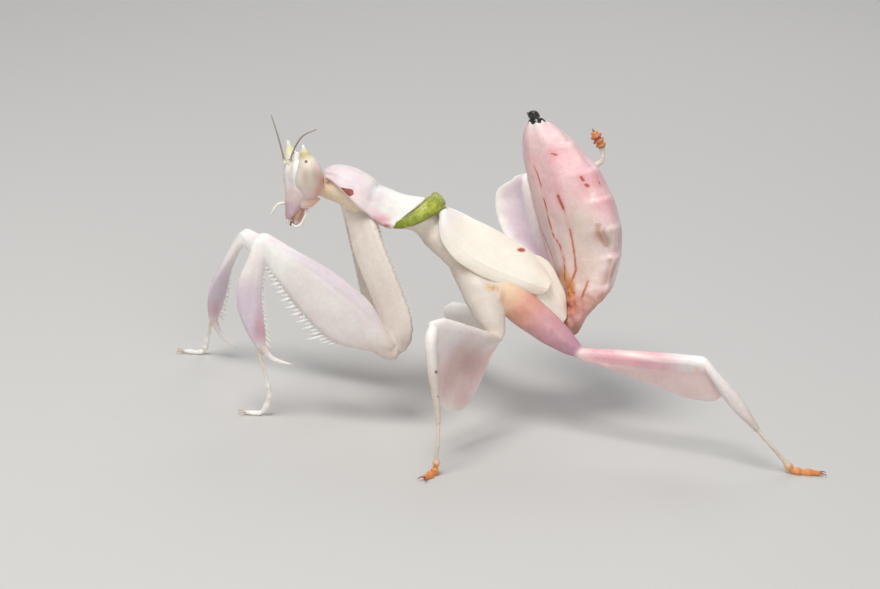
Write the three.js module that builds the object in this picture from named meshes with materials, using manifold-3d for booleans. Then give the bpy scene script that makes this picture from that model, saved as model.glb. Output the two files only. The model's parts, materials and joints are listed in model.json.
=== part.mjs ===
// Orchid mantis, a young female with wing pads, life size, in millimetres.
// The head is towards -X, the left side towards -Y, up is +Z, and the floor is at Z = 0.
// It stands on five feet, leans to its right, and holds the right hind leg up behind the abdomen.
import * as THREE from 'three';
import { mergeVertices } from 'three/addons/utils/BufferGeometryUtils.js';
import Module from 'manifold-3d';

const wasm = await Module();
wasm.setup();

// Driving dimensions, in millimetres and degrees.
const footprintShift = -3.2;
const bodyLean = 14;
const leanHeight = 11;
const headTurn = 20;
const headPlace = [-18.5, 0, 20];
const abdomenTilt = 15.3;
const abdomenTwist = 28;
const abdomenPlace = [6.7, 0, 10.2];
const gap = 0.28;
const padThickness = 0.55;
const tibiaThickness = 0.55;
const feelerWidth = 0.5;
const spineWidth = 0.5;
const spineRoot = 0.4;

// Colours of the living animal.
const colours = {
  pearl: '#e9dfe0',
  cream: '#efe6dc',
  blush: '#e3b9c0',
  peach: '#dcb08e',
  eye: '#d9c9b4',
  green: '#a3ad2c',
  black: '#1b1517',
  feeler: '#8d8078',
  orange: '#d98a2b',
};

// ---------- shapes ----------

const vec = (x, y, z) => new THREE.Vector3(x, y, z);

// Value of a smooth curve through [t, value] keys.
function along(keys, t) {
  const last = keys.length - 1;
  const index = Math.min(Math.max(keys.findIndex((key) => key[0] > t) - 1, 0), last - 1);
  const start = t >= keys[last][0] ? last - 1 : index;
  const share = THREE.MathUtils.clamp((t - keys[start][0]) / (keys[start + 1][0] - keys[start][0]), 0, 1);
  const slope = (i) => {
    const a = keys[Math.max(i - 1, 0)];
    const b = keys[Math.min(i + 1, last)];
    return (b[1] - a[1]) / (b[0] - a[0]);
  };
  const span = keys[start + 1][0] - keys[start][0];
  const s2 = share * share;
  const s3 = s2 * share;
  return keys[start][1] * (2 * s3 - 3 * s2 + 1) + keys[start + 1][1] * (3 * s2 - 2 * s3)
    + slope(start) * span * (s3 - 2 * s2 + share) + slope(start + 1) * span * (s3 - s2);
}

// An egg-shaped section: half width, height above and depth below its centre.
function oval(width, above, below, count = 12) {
  return Array.from({ length: count }, (_, i) => {
    const angle = (i / count) * Math.PI * 2;
    const rise = Math.sin(angle);
    return [width * Math.cos(angle), rise * (rise > 0 ? above : below)];
  });
}

// A rod with a thin petal hanging from it.
function petal(radius, above, depth, thickness = 0.55) {
  const half = Math.min(thickness / 2, radius);
  const end = Math.max(depth, radius * 1.15);
  const waist = Math.min(Math.max(radius * 1.1, depth * 0.2), end * 0.85);
  const foot = Math.max(end * 0.93, end - 0.35);
  const side = [[radius, 0], [half + (radius - half) * 0.3, -waist], [half, -foot]];
  const crown = [36, 72, 108, 144].map((degrees) => {
    const angle = THREE.MathUtils.degToRad(degrees);
    return [radius * Math.cos(angle), above * Math.sin(angle)];
  });
  return [[0, -end], ...[...side].reverse(), ...crown, ...side.map(([x, y]) => [-x, y])];
}

// One ring of points: a section stood up at a place.
function ring(centre, side, up, section) {
  return section.map(([x, y]) => centre.clone().addScaledVector(side, x).addScaledVector(up, y));
}

// Rings are joined into one closed skin, with a fan over each end.
function loft(rings) {
  const count = rings[0].length;
  const points = rings.flat();
  const faces = [];
  for (let r = 0; r < rings.length - 1; r += 1) {
    for (let i = 0; i < count; i += 1) {
      const j = (i + 1) % count;
      const [a, b, c, d] = [r * count + i, r * count + j, (r + 1) * count + j, (r + 1) * count + i];
      faces.push(a, b, c, a, c, d);
    }
  }
  for (const [start, turned] of [[0, true], [(rings.length - 1) * count, false]]) {
    const middle = points.length;
    const end = points.slice(start, start + count);
    points.push(end.reduce((sum, p) => sum.add(p), vec(0, 0, 0)).divideScalar(count));
    for (let i = 0; i < count; i += 1) {
      const pair = [start + i, start + ((i + 1) % count)];
      faces.push(middle, ...(turned ? pair.reverse() : pair));
    }
  }
  return outward(meshOf(points, faces));
}

function meshOf(points, faces) {
  const geometry = new THREE.BufferGeometry();
  const flat = points.flatMap((p) => [p.x, p.y, p.z]);
  geometry.setAttribute('position', new THREE.Float32BufferAttribute(flat, 3));
  geometry.setIndex(faces);
  return geometry;
}

// Turns the faces round when they look inwards.
function outward(geometry) {
  const place = geometry.attributes.position;
  const index = geometry.index.array;
  const corner = (k) => vec().fromBufferAttribute(place, index[k]);
  let volume = 0;
  for (let k = 0; k < index.length; k += 3) {
    volume += corner(k).dot(corner(k + 1).cross(corner(k + 2)));
  }
  if (volume < 0) {
    for (let k = 0; k < index.length; k += 3) {
      [index[k + 1], index[k + 2]] = [index[k + 2], index[k + 1]];
    }
  }
  return geometry;
}

// A limb follows a path; sections are made by a function of t from 0 to 1.
// Sections stand square to the path, or along the given direction where they hang.
function limb(path, up, steps, section, hanging = false) {
  const curve = new THREE.CatmullRomCurve3(path.map((p) => vec(...p)), false, 'centripetal');
  const rings = [];
  for (let i = 0; i <= steps; i += 1) {
    const t = i / steps;
    const forward = curve.getTangentAt(t);
    const side = vec(...up).cross(forward).normalize();
    const lift = hanging ? vec(...up) : forward.clone().cross(side).normalize();
    rings.push(ring(curve.getPointAt(t), side, lift, section(t)));
  }
  return loft(rings);
}

// A section of the trunk, given by its top and bottom points on the middle plane.
function trunkRing({ top, bottom, width, count = 14, full = 0.5 }) {
  const high = vec(top[0], 0, top[1]);
  const low = vec(bottom[0], 0, bottom[1]);
  const centre = low.clone().lerp(high, full);
  const up = high.clone().sub(low).normalize();
  const section = oval(width, high.distanceTo(centre), low.distanceTo(centre), count);
  return ring(centre, vec(0, 1, 0), up, section);
}

// ---------- joining and cutting ----------

function solidOf(geometry) {
  const plain = new THREE.BufferGeometry();
  plain.setAttribute('position', geometry.attributes.position);
  plain.setIndex(geometry.index);
  const merged = mergeVertices(plain, 1e-5);
  return new wasm.Manifold(new wasm.Mesh({
    numProp: 3,
    vertProperties: new Float32Array(merged.attributes.position.array),
    triVerts: new Uint32Array(merged.index.array),
  }));
}

function geometryOf(solid) {
  const largest = solid.decompose().sort((a, b) => b.volume() - a.volume())[0];
  const mesh = largest.getMesh();
  const geometry = new THREE.BufferGeometry();
  geometry.setAttribute('position', new THREE.BufferAttribute(new Float32Array(mesh.vertProperties), 3));
  geometry.setIndex(new THREE.BufferAttribute(new Uint32Array(mesh.triVerts), 1));
  return geometry;
}

function joined(geometry, ...others) {
  return geometryOf(others.reduce((sum, other) => sum.add(solidOf(other)), solidOf(geometry)));
}

// A copy that stands out by the gap all round.
function swollen(geometry) {
  const plain = new THREE.BufferGeometry();
  plain.setAttribute('position', geometry.attributes.position.clone());
  plain.setIndex(geometry.index);
  const copy = mergeVertices(plain, 1e-5);
  copy.computeVertexNormals();
  const place = copy.attributes.position;
  const normal = copy.attributes.normal;
  for (let i = 0; i < place.count; i += 1) {
    const p = vec().fromBufferAttribute(place, i).addScaledVector(vec().fromBufferAttribute(normal, i), gap);
    place.setXYZ(i, p.x, p.y, p.z);
  }
  return copy;
}

// Cuts a piece back from its neighbours, so that a thin gap stays between them.
function clear(geometry, ...neighbours) {
  const cut = (rest, other) => rest.subtract(solidOf(swollen(other)));
  return geometryOf(neighbours.reduce(cut, solidOf(geometry)));
}

// ---------- head ----------

const headStations = [
  { z: -3.5, x: -0.7, depth: 0.3, width: 0.45 },
  { z: -2.9, x: -0.5, depth: 0.6, width: 0.8 },
  { z: -2.0, x: -0.3, depth: 0.85, width: 1.15 },
  { z: -1.0, x: -0.15, depth: 1.05, width: 1.55 },
  { z: 0.2, x: -0.1, depth: 1.2, width: 1.95 },
  { z: 1.4, x: -0.3, depth: 1.25, width: 2.1 },
  { z: 2.2, x: -0.55, depth: 1.0, width: 1.75 },
  { z: 2.8, x: -0.75, depth: 0.55, width: 1.0 },
];
const eyeTip = [-0.75, -1.95, 3.6];
const vertexTip = [-0.7, 0, 3.25];

function headCapsule() {
  return loft(headStations.map(({ z, x, depth, width }) => (
    ring(vec(x, 0, z), vec(0, 1, 0), vec(1, 0, 0), oval(width, depth, depth, 12)))));
}

function eye(side) {
  const path = [[0.45, side * 1.75, -0.95], [0.4, side * 1.95, 0.5], [0.0, side * 2.0, 1.9],
    [eyeTip[0], -side * eyeTip[1], eyeTip[2]]];
  const keys = [[0, 0.35], [0.12, 0.85], [0.35, 1.15], [0.6, 0.95], [0.85, 0.42], [1, 0.16]];
  return limb(path, [1, 0, 0], 8, (t) => oval(along(keys, t), along(keys, t) * 1.05, along(keys, t), 10));
}

function vertexCone() {
  return limb([[-0.8, 0, 2.3], [-0.75, 0, 2.8], vertexTip], [1, 0, 0], 3, (t) => (
    oval(0.5 - 0.3 * t, 0.35 - 0.15 * t, 0.35 - 0.15 * t, 8)));
}

function antenna(path) {
  return limb(path, [0, 1, 0.2], 6, () => oval(feelerWidth / 2, feelerWidth / 2, feelerWidth / 2, 6));
}

function jaws() {
  const path = [[0.0, 0, -2.0], [-0.1, 0, -2.8], [-0.5, 0, -3.6]];
  return limb(path, [1, 0, 0], 4, (t) => oval(0.95 - 0.45 * t * t, 0.52 - 0.14 * t, 0.48 - 0.1 * t, 10));
}

const nearPalp = [[0.2, -1.35, -2.0], [0.1, -1.35, -2.8], [-0.4, -1.05, -3.55]];
const farPalp = [[-0.9, 1.2, -1.6], [-1.7, 1.35, -1.9], [-2.15, 1.6, -2.75]];
function palp(path) {
  return limb(path, [0, 1, 0], 5, (t) => oval(0.27 - 0.05 * t, 0.27 - 0.05 * t, 0.27 - 0.05 * t, 6));
}

// ---------- neck, shield, collar, thorax ----------

// The neck lies below the front of the shield and behind the near eye, clear of both.
function neck() {
  const path = [[-17.12, 0.45, 19.85], [-16.4, 0.15, 19.5], [-15.3, 0, 18.95]];
  const widths = [[0, 0.55], [0.4, 0.85], [1, 1.05]];
  return limb(path, [0.5, 0, 1], 5, (t) => oval(along(widths, t), 0.4 - 0.08 * t, 0.42, 10));
}

function pronotum() {
  return loft([
    { top: [-16.55, 21.55], bottom: [-16.35, 20.3], width: 1.0 },
    { top: [-15.9, 21.95], bottom: [-15.8, 19.85], width: 1.85 },
    { top: [-15.0, 22.1], bottom: [-14.9, 19.1], width: 2.5 },
    { top: [-13.6, 21.75], bottom: [-13.8, 18.2], width: 2.9 },
    { top: [-12.2, 21.05], bottom: [-12.6, 17.7], width: 2.8 },
    { top: [-10.8, 20.3], bottom: [-11.8, 17.3], width: 2.45 },
    { top: [-9.3, 19.75], bottom: [-11.0, 17.1], width: 2.2 },
    { top: [-7.9, 19.5], bottom: [-10.4, 17.1], width: 2.15 },
  ].map((station) => trunkRing({ ...station, full: 0.4 })));
}

function collar() {
  return loft([
    { top: [-7.25, 19.6], bottom: [-10.1, 17.05], width: 2.2 },
    { top: [-6.75, 20.0], bottom: [-9.9, 16.87], width: 2.4 },
    { top: [-6.2, 19.95], bottom: [-9.55, 16.82], width: 2.45 },
    { top: [-5.85, 19.35], bottom: [-9.15, 16.87], width: 2.25 },
  ].map((station) => trunkRing({ ...station, full: 0.4 })));
}

const thoraxStations = [
  { top: [-5.75, 18.6], bottom: [-8.1, 16.7], width: 1.9 },
  { top: [-4.6, 17.8], bottom: [-7.0, 15.5], width: 2.2 },
  { top: [-3.2, 17.1], bottom: [-5.4, 14.2], width: 2.35 },
  { top: [-1.7, 16.2], bottom: [-3.7, 12.9], width: 2.35 },
  { top: [-0.2, 15.4], bottom: [-1.8, 12.1], width: 2.3 },
  { top: [1.4, 14.5], bottom: [0.1, 11.4], width: 2.1 },
  { top: [3.0, 13.4], bottom: [2.0, 10.6], width: 1.85 },
  { top: [4.6, 11.9], bottom: [3.9, 9.9], width: 1.5 },
];

function thoraxPart(from, to) {
  return loft(thoraxStations.slice(from, to).map(trunkRing));
}

// ---------- wing pads ----------

// A pad is a curved leaf between an upper and a lower edge, a little over half a millimetre thick.
function wingPad(side, { upper, lower, bulge }) {
  const edge = (points) => new THREE.CatmullRomCurve3(points.map(([x, y, z]) => vec(x, side * y, z)));
  const [high, low] = [edge(upper), edge(lower)];
  const [long, across] = [7, 4];
  const grid = (depth) => {
    const points = [];
    for (let i = 0; i <= long; i += 1) {
      const a = high.getPoint(i / long);
      const b = low.getPoint(i / long);
      const out = vec(0, side * bulge, bulge * 0.45);
      for (let j = 0; j <= across; j += 1) {
        const t = j / across;
        const swell = 1 - (2 * t - 1) ** 2;
        const inward = vec(0, -side * (0.35 + 0.65 * t), -(1 - t) - 0.15).normalize();
        points.push(a.clone().lerp(b, t).addScaledVector(out, swell).addScaledVector(inward, depth));
      }
    }
    return points;
  };
  const points = [...grid(0), ...grid(padThickness)];
  const row = across + 1;
  const under = (long + 1) * row;
  const faces = [];
  const quad = (a, b, c, d) => faces.push(a, b, c, a, c, d);
  for (let i = 0; i < long; i += 1) {
    for (let j = 0; j < across; j += 1) {
      const k = i * row + j;
      quad(k, k + 1, k + row + 1, k + row);
      quad(under + k, under + k + row, under + k + row + 1, under + k + 1);
    }
  }
  const rim = [];
  for (let j = 0; j < across; j += 1) rim.push(j);
  for (let i = 0; i < long; i += 1) rim.push(i * row + across);
  for (let j = across; j > 0; j -= 1) rim.push(long * row + j);
  for (let i = long; i > 0; i -= 1) rim.push(i * row);
  rim.forEach((k, i) => {
    const next = rim[(i + 1) % rim.length];
    quad(k, under + k, under + next, next);
  });
  return outward(meshOf(points, faces));
}

const forePadEdges = {
  bulge: 0.75,
  upper: [[-5.6, 0.3, 18.95], [-4.2, 0.35, 18.5], [-2.0, 0.35, 17.7], [0.1, 0.4, 16.8], [1.8, 0.5, 15.9],
    [3.2, 0.85, 14.7], [4.2, 1.5, 13.4]],
  lower: [[-6.0, 2.3, 17.7], [-5.6, 2.75, 16.3], [-4.3, 2.95, 14.7], [-2.4, 3.0, 13.6], [0.0, 2.95, 12.8],
    [2.1, 2.75, 12.35], [3.95, 2.2, 12.1]],
};
const hindPadEdges = {
  bulge: 0.35,
  upper: [[4.3, 0.4, 14.7], [5.05, 0.45, 13.5], [5.7, 0.5, 11.9], [5.95, 0.8, 10.3]],
  lower: [[2.3, 2.35, 11.75], [3.3, 2.3, 10.8], [4.5, 1.9, 9.9], [5.6, 1.2, 9.35]],
};

// ---------- abdomen ----------

const abdomenWidths = [
  [0, 1.35], [1.7, 3.0], [3.4, 4.2], [5.4, 5.0], [7.7, 5.5], [10.5, 5.15], [12.5, 4.7],
  [14.5, 3.75], [16.3, 2.75], [17.6, 1.1], [18.8, 0.5],
];
const abdomenDepths = [
  [0, 0.95], [1.7, 1.7], [3.4, 2.2], [5.4, 2.55], [7.7, 2.75], [10.5, 2.8], [12.5, 2.65],
  [14.5, 2.2], [16.3, 1.6], [17.6, 0.85], [18.8, 0.45],
];
const abdomenBow = [
  [0, 0], [1.7, 1.35], [3.4, 2.1], [5.4, 2.5], [7.7, 2.6], [10.5, 2.3], [12.5, 1.9],
  [14.5, 1.4], [16.3, 0.85], [18.8, 0.1],
];
const abdomenSway = [
  [0, -0.3], [1.7, -0.4], [3.4, -0.1], [5.4, 0.2], [7.7, 0.25], [10.5, 0.45], [12.5, 0.5],
  [14.5, 0.75], [16.3, 0.82], [17.6, 0.88], [18.8, 0.75],
];
const segmentsNearLegs = 4;
const segmentEnds = [0.3, 2.6, 5.2, 7.8, 10.4, 13.0, 15.6, 17.5];

function abdomenRing(s) {
  const section = oval(along(abdomenWidths, s), along(abdomenDepths, s), along(abdomenDepths, s), 18);
  const centre = vec(along(abdomenBow, s), along(abdomenSway, s), s);
  return ring(centre, vec(0, 1, 0), vec(1, 0, 0), section);
}

function abdomenLength(from, to, steps = 2) {
  return loft(Array.from({ length: steps + 1 }, (_, i) => abdomenRing(from + ((to - from) * i) / steps)));
}

// ---------- legs ----------

// Small pointed spines along an edge, all leaning the same way.
function spines(body, edge, lengths, lean) {
  const curve = new THREE.CatmullRomCurve3(edge.map((p) => vec(...p)));
  const direction = vec(...lean).normalize();
  const teeth = lengths.map((length, i) => {
    const root = curve.getPointAt((i + 0.5) / lengths.length);
    const cone = new THREE.ConeGeometry(spineWidth / 2, length + spineRoot, 4);
    cone.translate(0, (length - spineRoot) / 2, 0);
    cone.applyQuaternion(new THREE.Quaternion().setFromUnitVectors(vec(0, 1, 0), direction));
    cone.translate(root.x, root.y, root.z);
    return cone;
  });
  return joined(body, ...teeth);
}

// The raptorial foreleg: a broad flat coxa and femur, a tibia with its claw, and a thin tarsus.
const femurSpines = [0.5, 0.8, 0.55, 0.85, 0.6, 0.9, 0.6, 0.9, 0.6, 1.0];
const tibiaSpines = [0.35, 0.4, 0.45, 0.5, 0.5, 0.55, 0.6];
const forelegFlat = [0.45, 0.1, 1];
function foreLeg(shape) {
  const { hip, elbow, root, knee, shin, ankle, claw, heel, sole, toe } = shape;
  const { femurEdge, femurLean, tibiaEdge, tibiaLean } = shape;
  const flat = forelegFlat;
  const coxaWidths = [[0, 1.55], [0.35, 1.5], [0.7, 1.6], [0.92, 1.35], [1, 0.8]];
  const coxa = limb([hip, elbow], flat, 6, (t) => {
    const width = along(coxaWidths, t);
    return oval(0.8 - 0.2 * t, width, width, 10);
  });
  const femurWidths = [[0, 0.9], [0.12, 1.75], [0.36, 2.75], [0.6, 2.35], [0.82, 1.5], [1, 0.95]];
  const femurBody = limb([root, knee], flat, 8, (t) => (
    oval(0.8 - 0.25 * t, along(femurWidths, t) * 0.86, along(femurWidths, t) * 1.14, 10)));
  const femur = spines(femurBody, femurEdge, femurSpines, femurLean);
  const tibiaWidths = [[0, 0.75], [0.3, 1.1], [0.65, 1.15], [0.9, 0.75], [1, 0.45]];
  const tibiaBody = limb([...shin, ankle], flat, 7, (t) => (
    oval(0.5, along(tibiaWidths, t), along(tibiaWidths, t), 8)));
  const hook = limb([ankle, ...claw], flat, 3, (t) => (
    oval(0.3 - 0.08 * t, 0.34 - 0.16 * t, 0.34 - 0.16 * t, 6)));
  const tibia = spines(joined(tibiaBody, hook), tibiaEdge, tibiaSpines, tibiaLean);
  const tarsus = flatFooted(limb([...heel, sole, toe], flat, 7, (t) => oval(0.3 - 0.05 * t, 0.3, 0.3, 6)));
  return { coxa, femur, tibia, tarsus };
}

// A walking leg: a tapered coxa, a femur with its petal, a plain tibia and a jointed tarsus.
function walkingLeg(shape) {
  const { hip, elbow, root, knee, shin, ankle, heel, sole, toe } = shape;
  const { coxaWidth, petalUp, petalDepths, crown, shins, lift } = shape;
  const coxaWidths = [[0, 1], [0.5, 0.95], [0.8, 0.75], [1, 0.42]];
  const coxa = limb([hip, elbow], [0, 1, 0.2], 5, (t) => {
    const width = coxaWidth * along(coxaWidths, t);
    return oval(width, width * 0.85, width * 0.85, 10);
  });
  const rods = [[0, 0.5], [0.3, 0.6], [0.8, 0.6], [1, 0.45]];
  const femur = limb([root, knee], petalUp, 10, (t) => (
    petal(along(rods, t), along(crown, t), along(petalDepths, t))), true);
  const tibia = limb([shin, ankle], [0, 1, 0.3], shins.length, (t) => {
    const width = along(shins, t);
    const thickness = Math.min(width, tibiaThickness);
    return oval(width, thickness, thickness, 8);
  });
  const thin = [[0, 0.27], [0.5, 0.25], [0.62, 0.4], [0.9, 0.36], [1, 0.22]];
  const tarsus = limb([...heel, sole, toe], lift, 8, (t) => (
    oval(along(thin, t), along(thin, t) * 0.8, along(thin, t) * 0.8, 6)));
  return { coxa, femur, tibia, tarsus: flatFooted(tarsus) };
}

// What would reach under the floor is pressed flat on it, as a small sole.
function flatFooted(geometry) {
  const place = geometry.attributes.position;
  for (let i = 0; i < place.count; i += 1) {
    place.setZ(i, Math.max(place.getZ(i), 0));
  }
  return geometry;
}

const plainCrown = [[0, 0.55], [1, 0.55]];
const roundShins = [[0, 0.5], [0.4, 0.56], [0.8, 0.5], [1, 0.38]];
const flatShins = [[0, 0.42], [0.25, 0.5], [0.5, 0.68], [0.65, 0.66], [0.85, 0.45], [1, 0.36]];
const legShapes = {
  fore_left: foreLeg({
    hip: [-13.0, -2.75, 18.8], elbow: [-8.45, -4.75, 6.9],
    root: [-9.3, -3.35, 7.4], knee: [-21.2, -4.8, 16.6],
    shin: [[-21.6, -5.0, 15.2], [-22.1, -5.2, 11.4]], ankle: [-20.9, -5.0, 6.9],
    claw: [[-19.9, -4.9, 5.7], [-17.9, -4.8, 5.2]],
    heel: [[-20.9, -5.0, 5.75], [-20.3, -4.7, 3.8], [-19.95, -4.5, 1.7]],
    sole: [-20.6, -4.45, 0.2], toe: [-21.9, -4.6, 0.12],
    femurEdge: [[-20.6, -4.6, 14.3], [-18.6, -4.3, 11.4], [-16.4, -4.1, 9.1], [-14.2, -3.8, 7.8]],
    femurLean: [-0.75, 0, -0.6],
    tibiaEdge: [[-20.9, -5.1, 12.6], [-20.4, -5.1, 9.6], [-20.1, -5.0, 7.4]],
    tibiaLean: [0.6, 0, -0.7],
  }),
  fore_right: foreLeg({
    hip: [-13.3, 2.6, 17.4], elbow: [-10.1, 4.6, 4.9], root: [-11.0, 3.3, 5.3], knee: [-23.6, 5.6, 13.3],
    shin: [[-24.5, 6.3, 12.0], [-25.9, 7.1, 8.2]], ankle: [-26.5, 8.0, 4.1],
    claw: [[-25.8, 8.2, 2.6], [-24.2, 8.3, 1.2]], heel: [[-26.8, 8.4, 3.1], [-27.0, 8.8, 1.9]],
    sole: [-27.5, 9.1, 0.2], toe: [-29.2, 9.0, 0.12],
    femurEdge: [[-22.8, 5.6, 11.2], [-20.6, 5.0, 8.8], [-18.4, 4.6, 6.4], [-15.8, 4.0, 4.6]],
    femurLean: [-0.6, 0.3, -0.7],
    tibiaEdge: [[-24.9, 7.4, 8.8], [-25.2, 7.8, 6.6], [-25.6, 8.0, 4.8]],
    tibiaLean: [0.7, 0.1, -0.5],
  }),
  mid_left: walkingLeg({
    hip: [-2.6, -2.3, 13.6], elbow: [0.0, -3.5, 9.2], root: [-0.3, -4.0, 8.9], knee: [-5.75, -11.5, 12.3],
    petalUp: [0, 0, 1], crown: [[0, 0.5], [0.4, 0.8], [0.85, 1.05], [1, 0.6]],
    petalDepths: [
      [0, 0.8], [0.11, 2.9], [0.23, 4.75], [0.4, 6.5], [0.6, 7.25], [0.8, 6.85], [0.92, 5.2], [1, 1.2],
    ],
    shin: [-5.9, -12.4, 11.6], ankle: [-4.7, -13.8, 4.8], heel: [[-4.6, -14.0, 4.15], [-4.6, -14.3, 2.2]],
    sole: [-4.7, -14.5, 0.2], toe: [-5.4, -15.7, 0.12], coxaWidth: 1.75, shins: roundShins, lift: [1, 0, 0.1],
  }),
  mid_right: walkingLeg({
    hip: [-2.6, 2.2, 12.6], elbow: [0.0, 3.2, 8.3], root: [-0.2, 3.7, 8.0], knee: [-4.5, 12.0, 5.2],
    petalUp: [-0.2, 0.15, 1], crown: [[0, 0.5], [0.4, 0.8], [0.85, 1.0], [1, 0.6]],
    petalDepths: [[0, 0.7], [0.12, 1.8], [0.4, 3.7], [0.7, 4.4], [0.9, 3.4], [1, 1.0]],
    shin: [-4.3, 12.9, 5.0], ankle: [-3.2, 18.0, 2.2], heel: [[-3.1, 18.7, 1.9], [-3.0, 19.4, 0.9]],
    sole: [-2.8, 20.2, 0.22], toe: [-2.4, 21.8, 0.12], coxaWidth: 1.75, shins: roundShins, lift: [1, 0, 0],
  }),
  hind_left: walkingLeg({
    hip: [1.2, -2.0, 12.0], elbow: [7.0, -3.5, 8.25], root: [7.7, -3.85, 8.0], knee: [18.1, -6.8, 9.35],
    petalUp: [-0.6, -0.15, 0.87], crown: plainCrown,
    petalDepths: [
      [0, 0.7], [0.12, 0.9], [0.2, 1.7], [0.34, 2.7], [0.52, 3.7],
      [0.68, 4.5], [0.86, 4.7], [1, 3.9],
    ],
    shin: [18.7, -7.0, 8.75], ankle: [23.2, -8.0, 4.0], heel: [[23.6, -8.1, 3.5], [25.9, -8.2, 1.3]],
    sole: [27.0, -8.2, 0.24], toe: [29.2, -8.2, 0.12], coxaWidth: 1.7, shins: flatShins, lift: [0, 1, 0],
  }),
  hind_right: walkingLeg({
    hip: [1.6, 2.0, 11.4], elbow: [5.6, 4.4, 9.3], root: [5.6, 5.1, 9.5], knee: [1.6, 9.3, 19.7],
    petalUp: [1, -0.35, 0.08], crown: plainCrown,
    petalDepths: [
      [0, 0.7], [0.32, 0.8], [0.4, 2.4], [0.48, 3.5], [0.64, 3.9], [0.78, 3.7], [0.9, 3.0], [1, 1.2],
    ],
    shin: [2.2, 9.6, 20.2], ankle: [8.0, 10.6, 21.2], heel: [[8.45, 10.7, 21.6], [8.5, 10.8, 22.4]],
    sole: [8.2, 10.9, 23.5], toe: [7.5, 10.9, 24.6], coxaWidth: 1.6, shins: flatShins, lift: [0, 1, 0],
  }),
};

// ---------- assembly ----------

function piece(name, geometry, colour, roughness = 0.45) {
  const material = new THREE.MeshStandardMaterial({ color: colour, roughness, metalness: 0 });
  const mesh = new THREE.Mesh(geometry, material);
  mesh.name = name;
  return mesh;
}

const mantis = new THREE.Group();
mantis.position.set(0, footprintShift, 0);

const trunk = new THREE.Group();
trunk.rotation.x = THREE.MathUtils.degToRad(-bodyLean);
trunk.position.set(0, -leanHeight * Math.sin(THREE.MathUtils.degToRad(bodyLean)),
  leanHeight * (1 - Math.cos(THREE.MathUtils.degToRad(bodyLean))));
trunk.updateMatrix();
mantis.add(trunk);

const shield = pronotum();
const collarBand = clear(collar(), shield);
const thoraxFront = clear(thoraxPart(0, 4), collarBand);
const thoraxRear = thoraxPart(4, 8);
trunk.add(
  piece('pronotum', shield, colours.pearl),
  piece('collar', collarBand, colours.green),
  piece('thorax_front', thoraxFront, colours.cream),
  piece('thorax_rear', thoraxRear, colours.cream),
);

const pads = [];
for (const [sideName, side] of [['left', -1], ['right', 1]]) {
  const forePad = clear(wingPad(side, forePadEdges), thoraxFront, thoraxRear, collarBand);
  const hindPad = clear(wingPad(side, hindPadEdges), thoraxRear, forePad);
  trunk.add(piece(`wing_pad_fore_${sideName}`, forePad, colours.cream));
  trunk.add(piece(`wing_pad_hind_${sideName}`, hindPad, colours.cream));
  pads.push(forePad, hindPad);
}

const head = new THREE.Group();
head.position.set(...headPlace);
head.rotation.z = THREE.MathUtils.degToRad(headTurn);
head.updateMatrix();
trunk.add(head);
const capsule = headCapsule();
const [leftEye, rightEye] = [eye(-1), eye(1)];
const mouth = jaws();
const shieldInHead = shield.clone().applyMatrix4(head.matrix.clone().invert());
const headSolid = clear(capsule, leftEye, rightEye, mouth, vertexCone(), shieldInHead);
const leftFeeler = antenna([[-1.75, -0.6, 1.9], [-1.5, -0.8, 3.5], [-0.7, -1.4, 4.6], [0.2, -2.3, 5.2]]);
const rightFeeler = antenna([[-1.8, 0.55, 1.9], [-2.2, 1.1, 4.0], [-2.75, 1.9, 6.0]]);
head.add(
  piece('head', clear(headSolid, leftFeeler, rightFeeler), colours.pearl),
  piece('eye_left', clear(leftEye, shieldInHead), colours.eye, 0.3),
  piece('eye_right', clear(rightEye, shieldInHead), colours.eye, 0.3),
  piece('vertex_cone', clear(vertexCone(), leftFeeler, rightFeeler, leftEye, rightEye), colours.cream),
  piece('jaws', mouth, colours.peach),
  piece('antenna_left', clear(leftFeeler, leftEye), colours.feeler, 0.6),
  piece('antenna_right', clear(rightFeeler, rightEye), colours.feeler, 0.6),
  piece('palp_left', clear(palp(nearPalp), headSolid, mouth), colours.cream),
  piece('palp_right', clear(palp(farPalp), headSolid), colours.cream),
);
trunk.add(piece('neck', neck(), colours.peach));

const abdomen = new THREE.Group();
abdomen.position.set(...abdomenPlace);
abdomen.rotation.set(0, THREE.MathUtils.degToRad(-abdomenTilt), THREE.MathUtils.degToRad(abdomenTwist));
abdomen.updateMatrix();
trunk.add(abdomen);
const intoAbdomen = abdomen.matrix.clone().invert();
const nearAbdomen = [thoraxRear, ...pads].map((solid) => solid.clone().applyMatrix4(intoAbdomen));
for (let i = 0; i < segmentEnds.length - 1; i += 1) {
  const plain = abdomenLength(segmentEnds[i] + gap / 2, segmentEnds[i + 1] - gap / 2);
  const segment = i < 2 ? clear(plain, ...nearAbdomen) : plain;
  abdomen.add(piece(`abdomen_${i + 1}`, segment, colours.blush));
}
abdomen.add(piece('abdomen_tip', abdomenLength(segmentEnds[7] + gap / 2, 18.8, 3), colours.black, 0.35));

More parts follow.
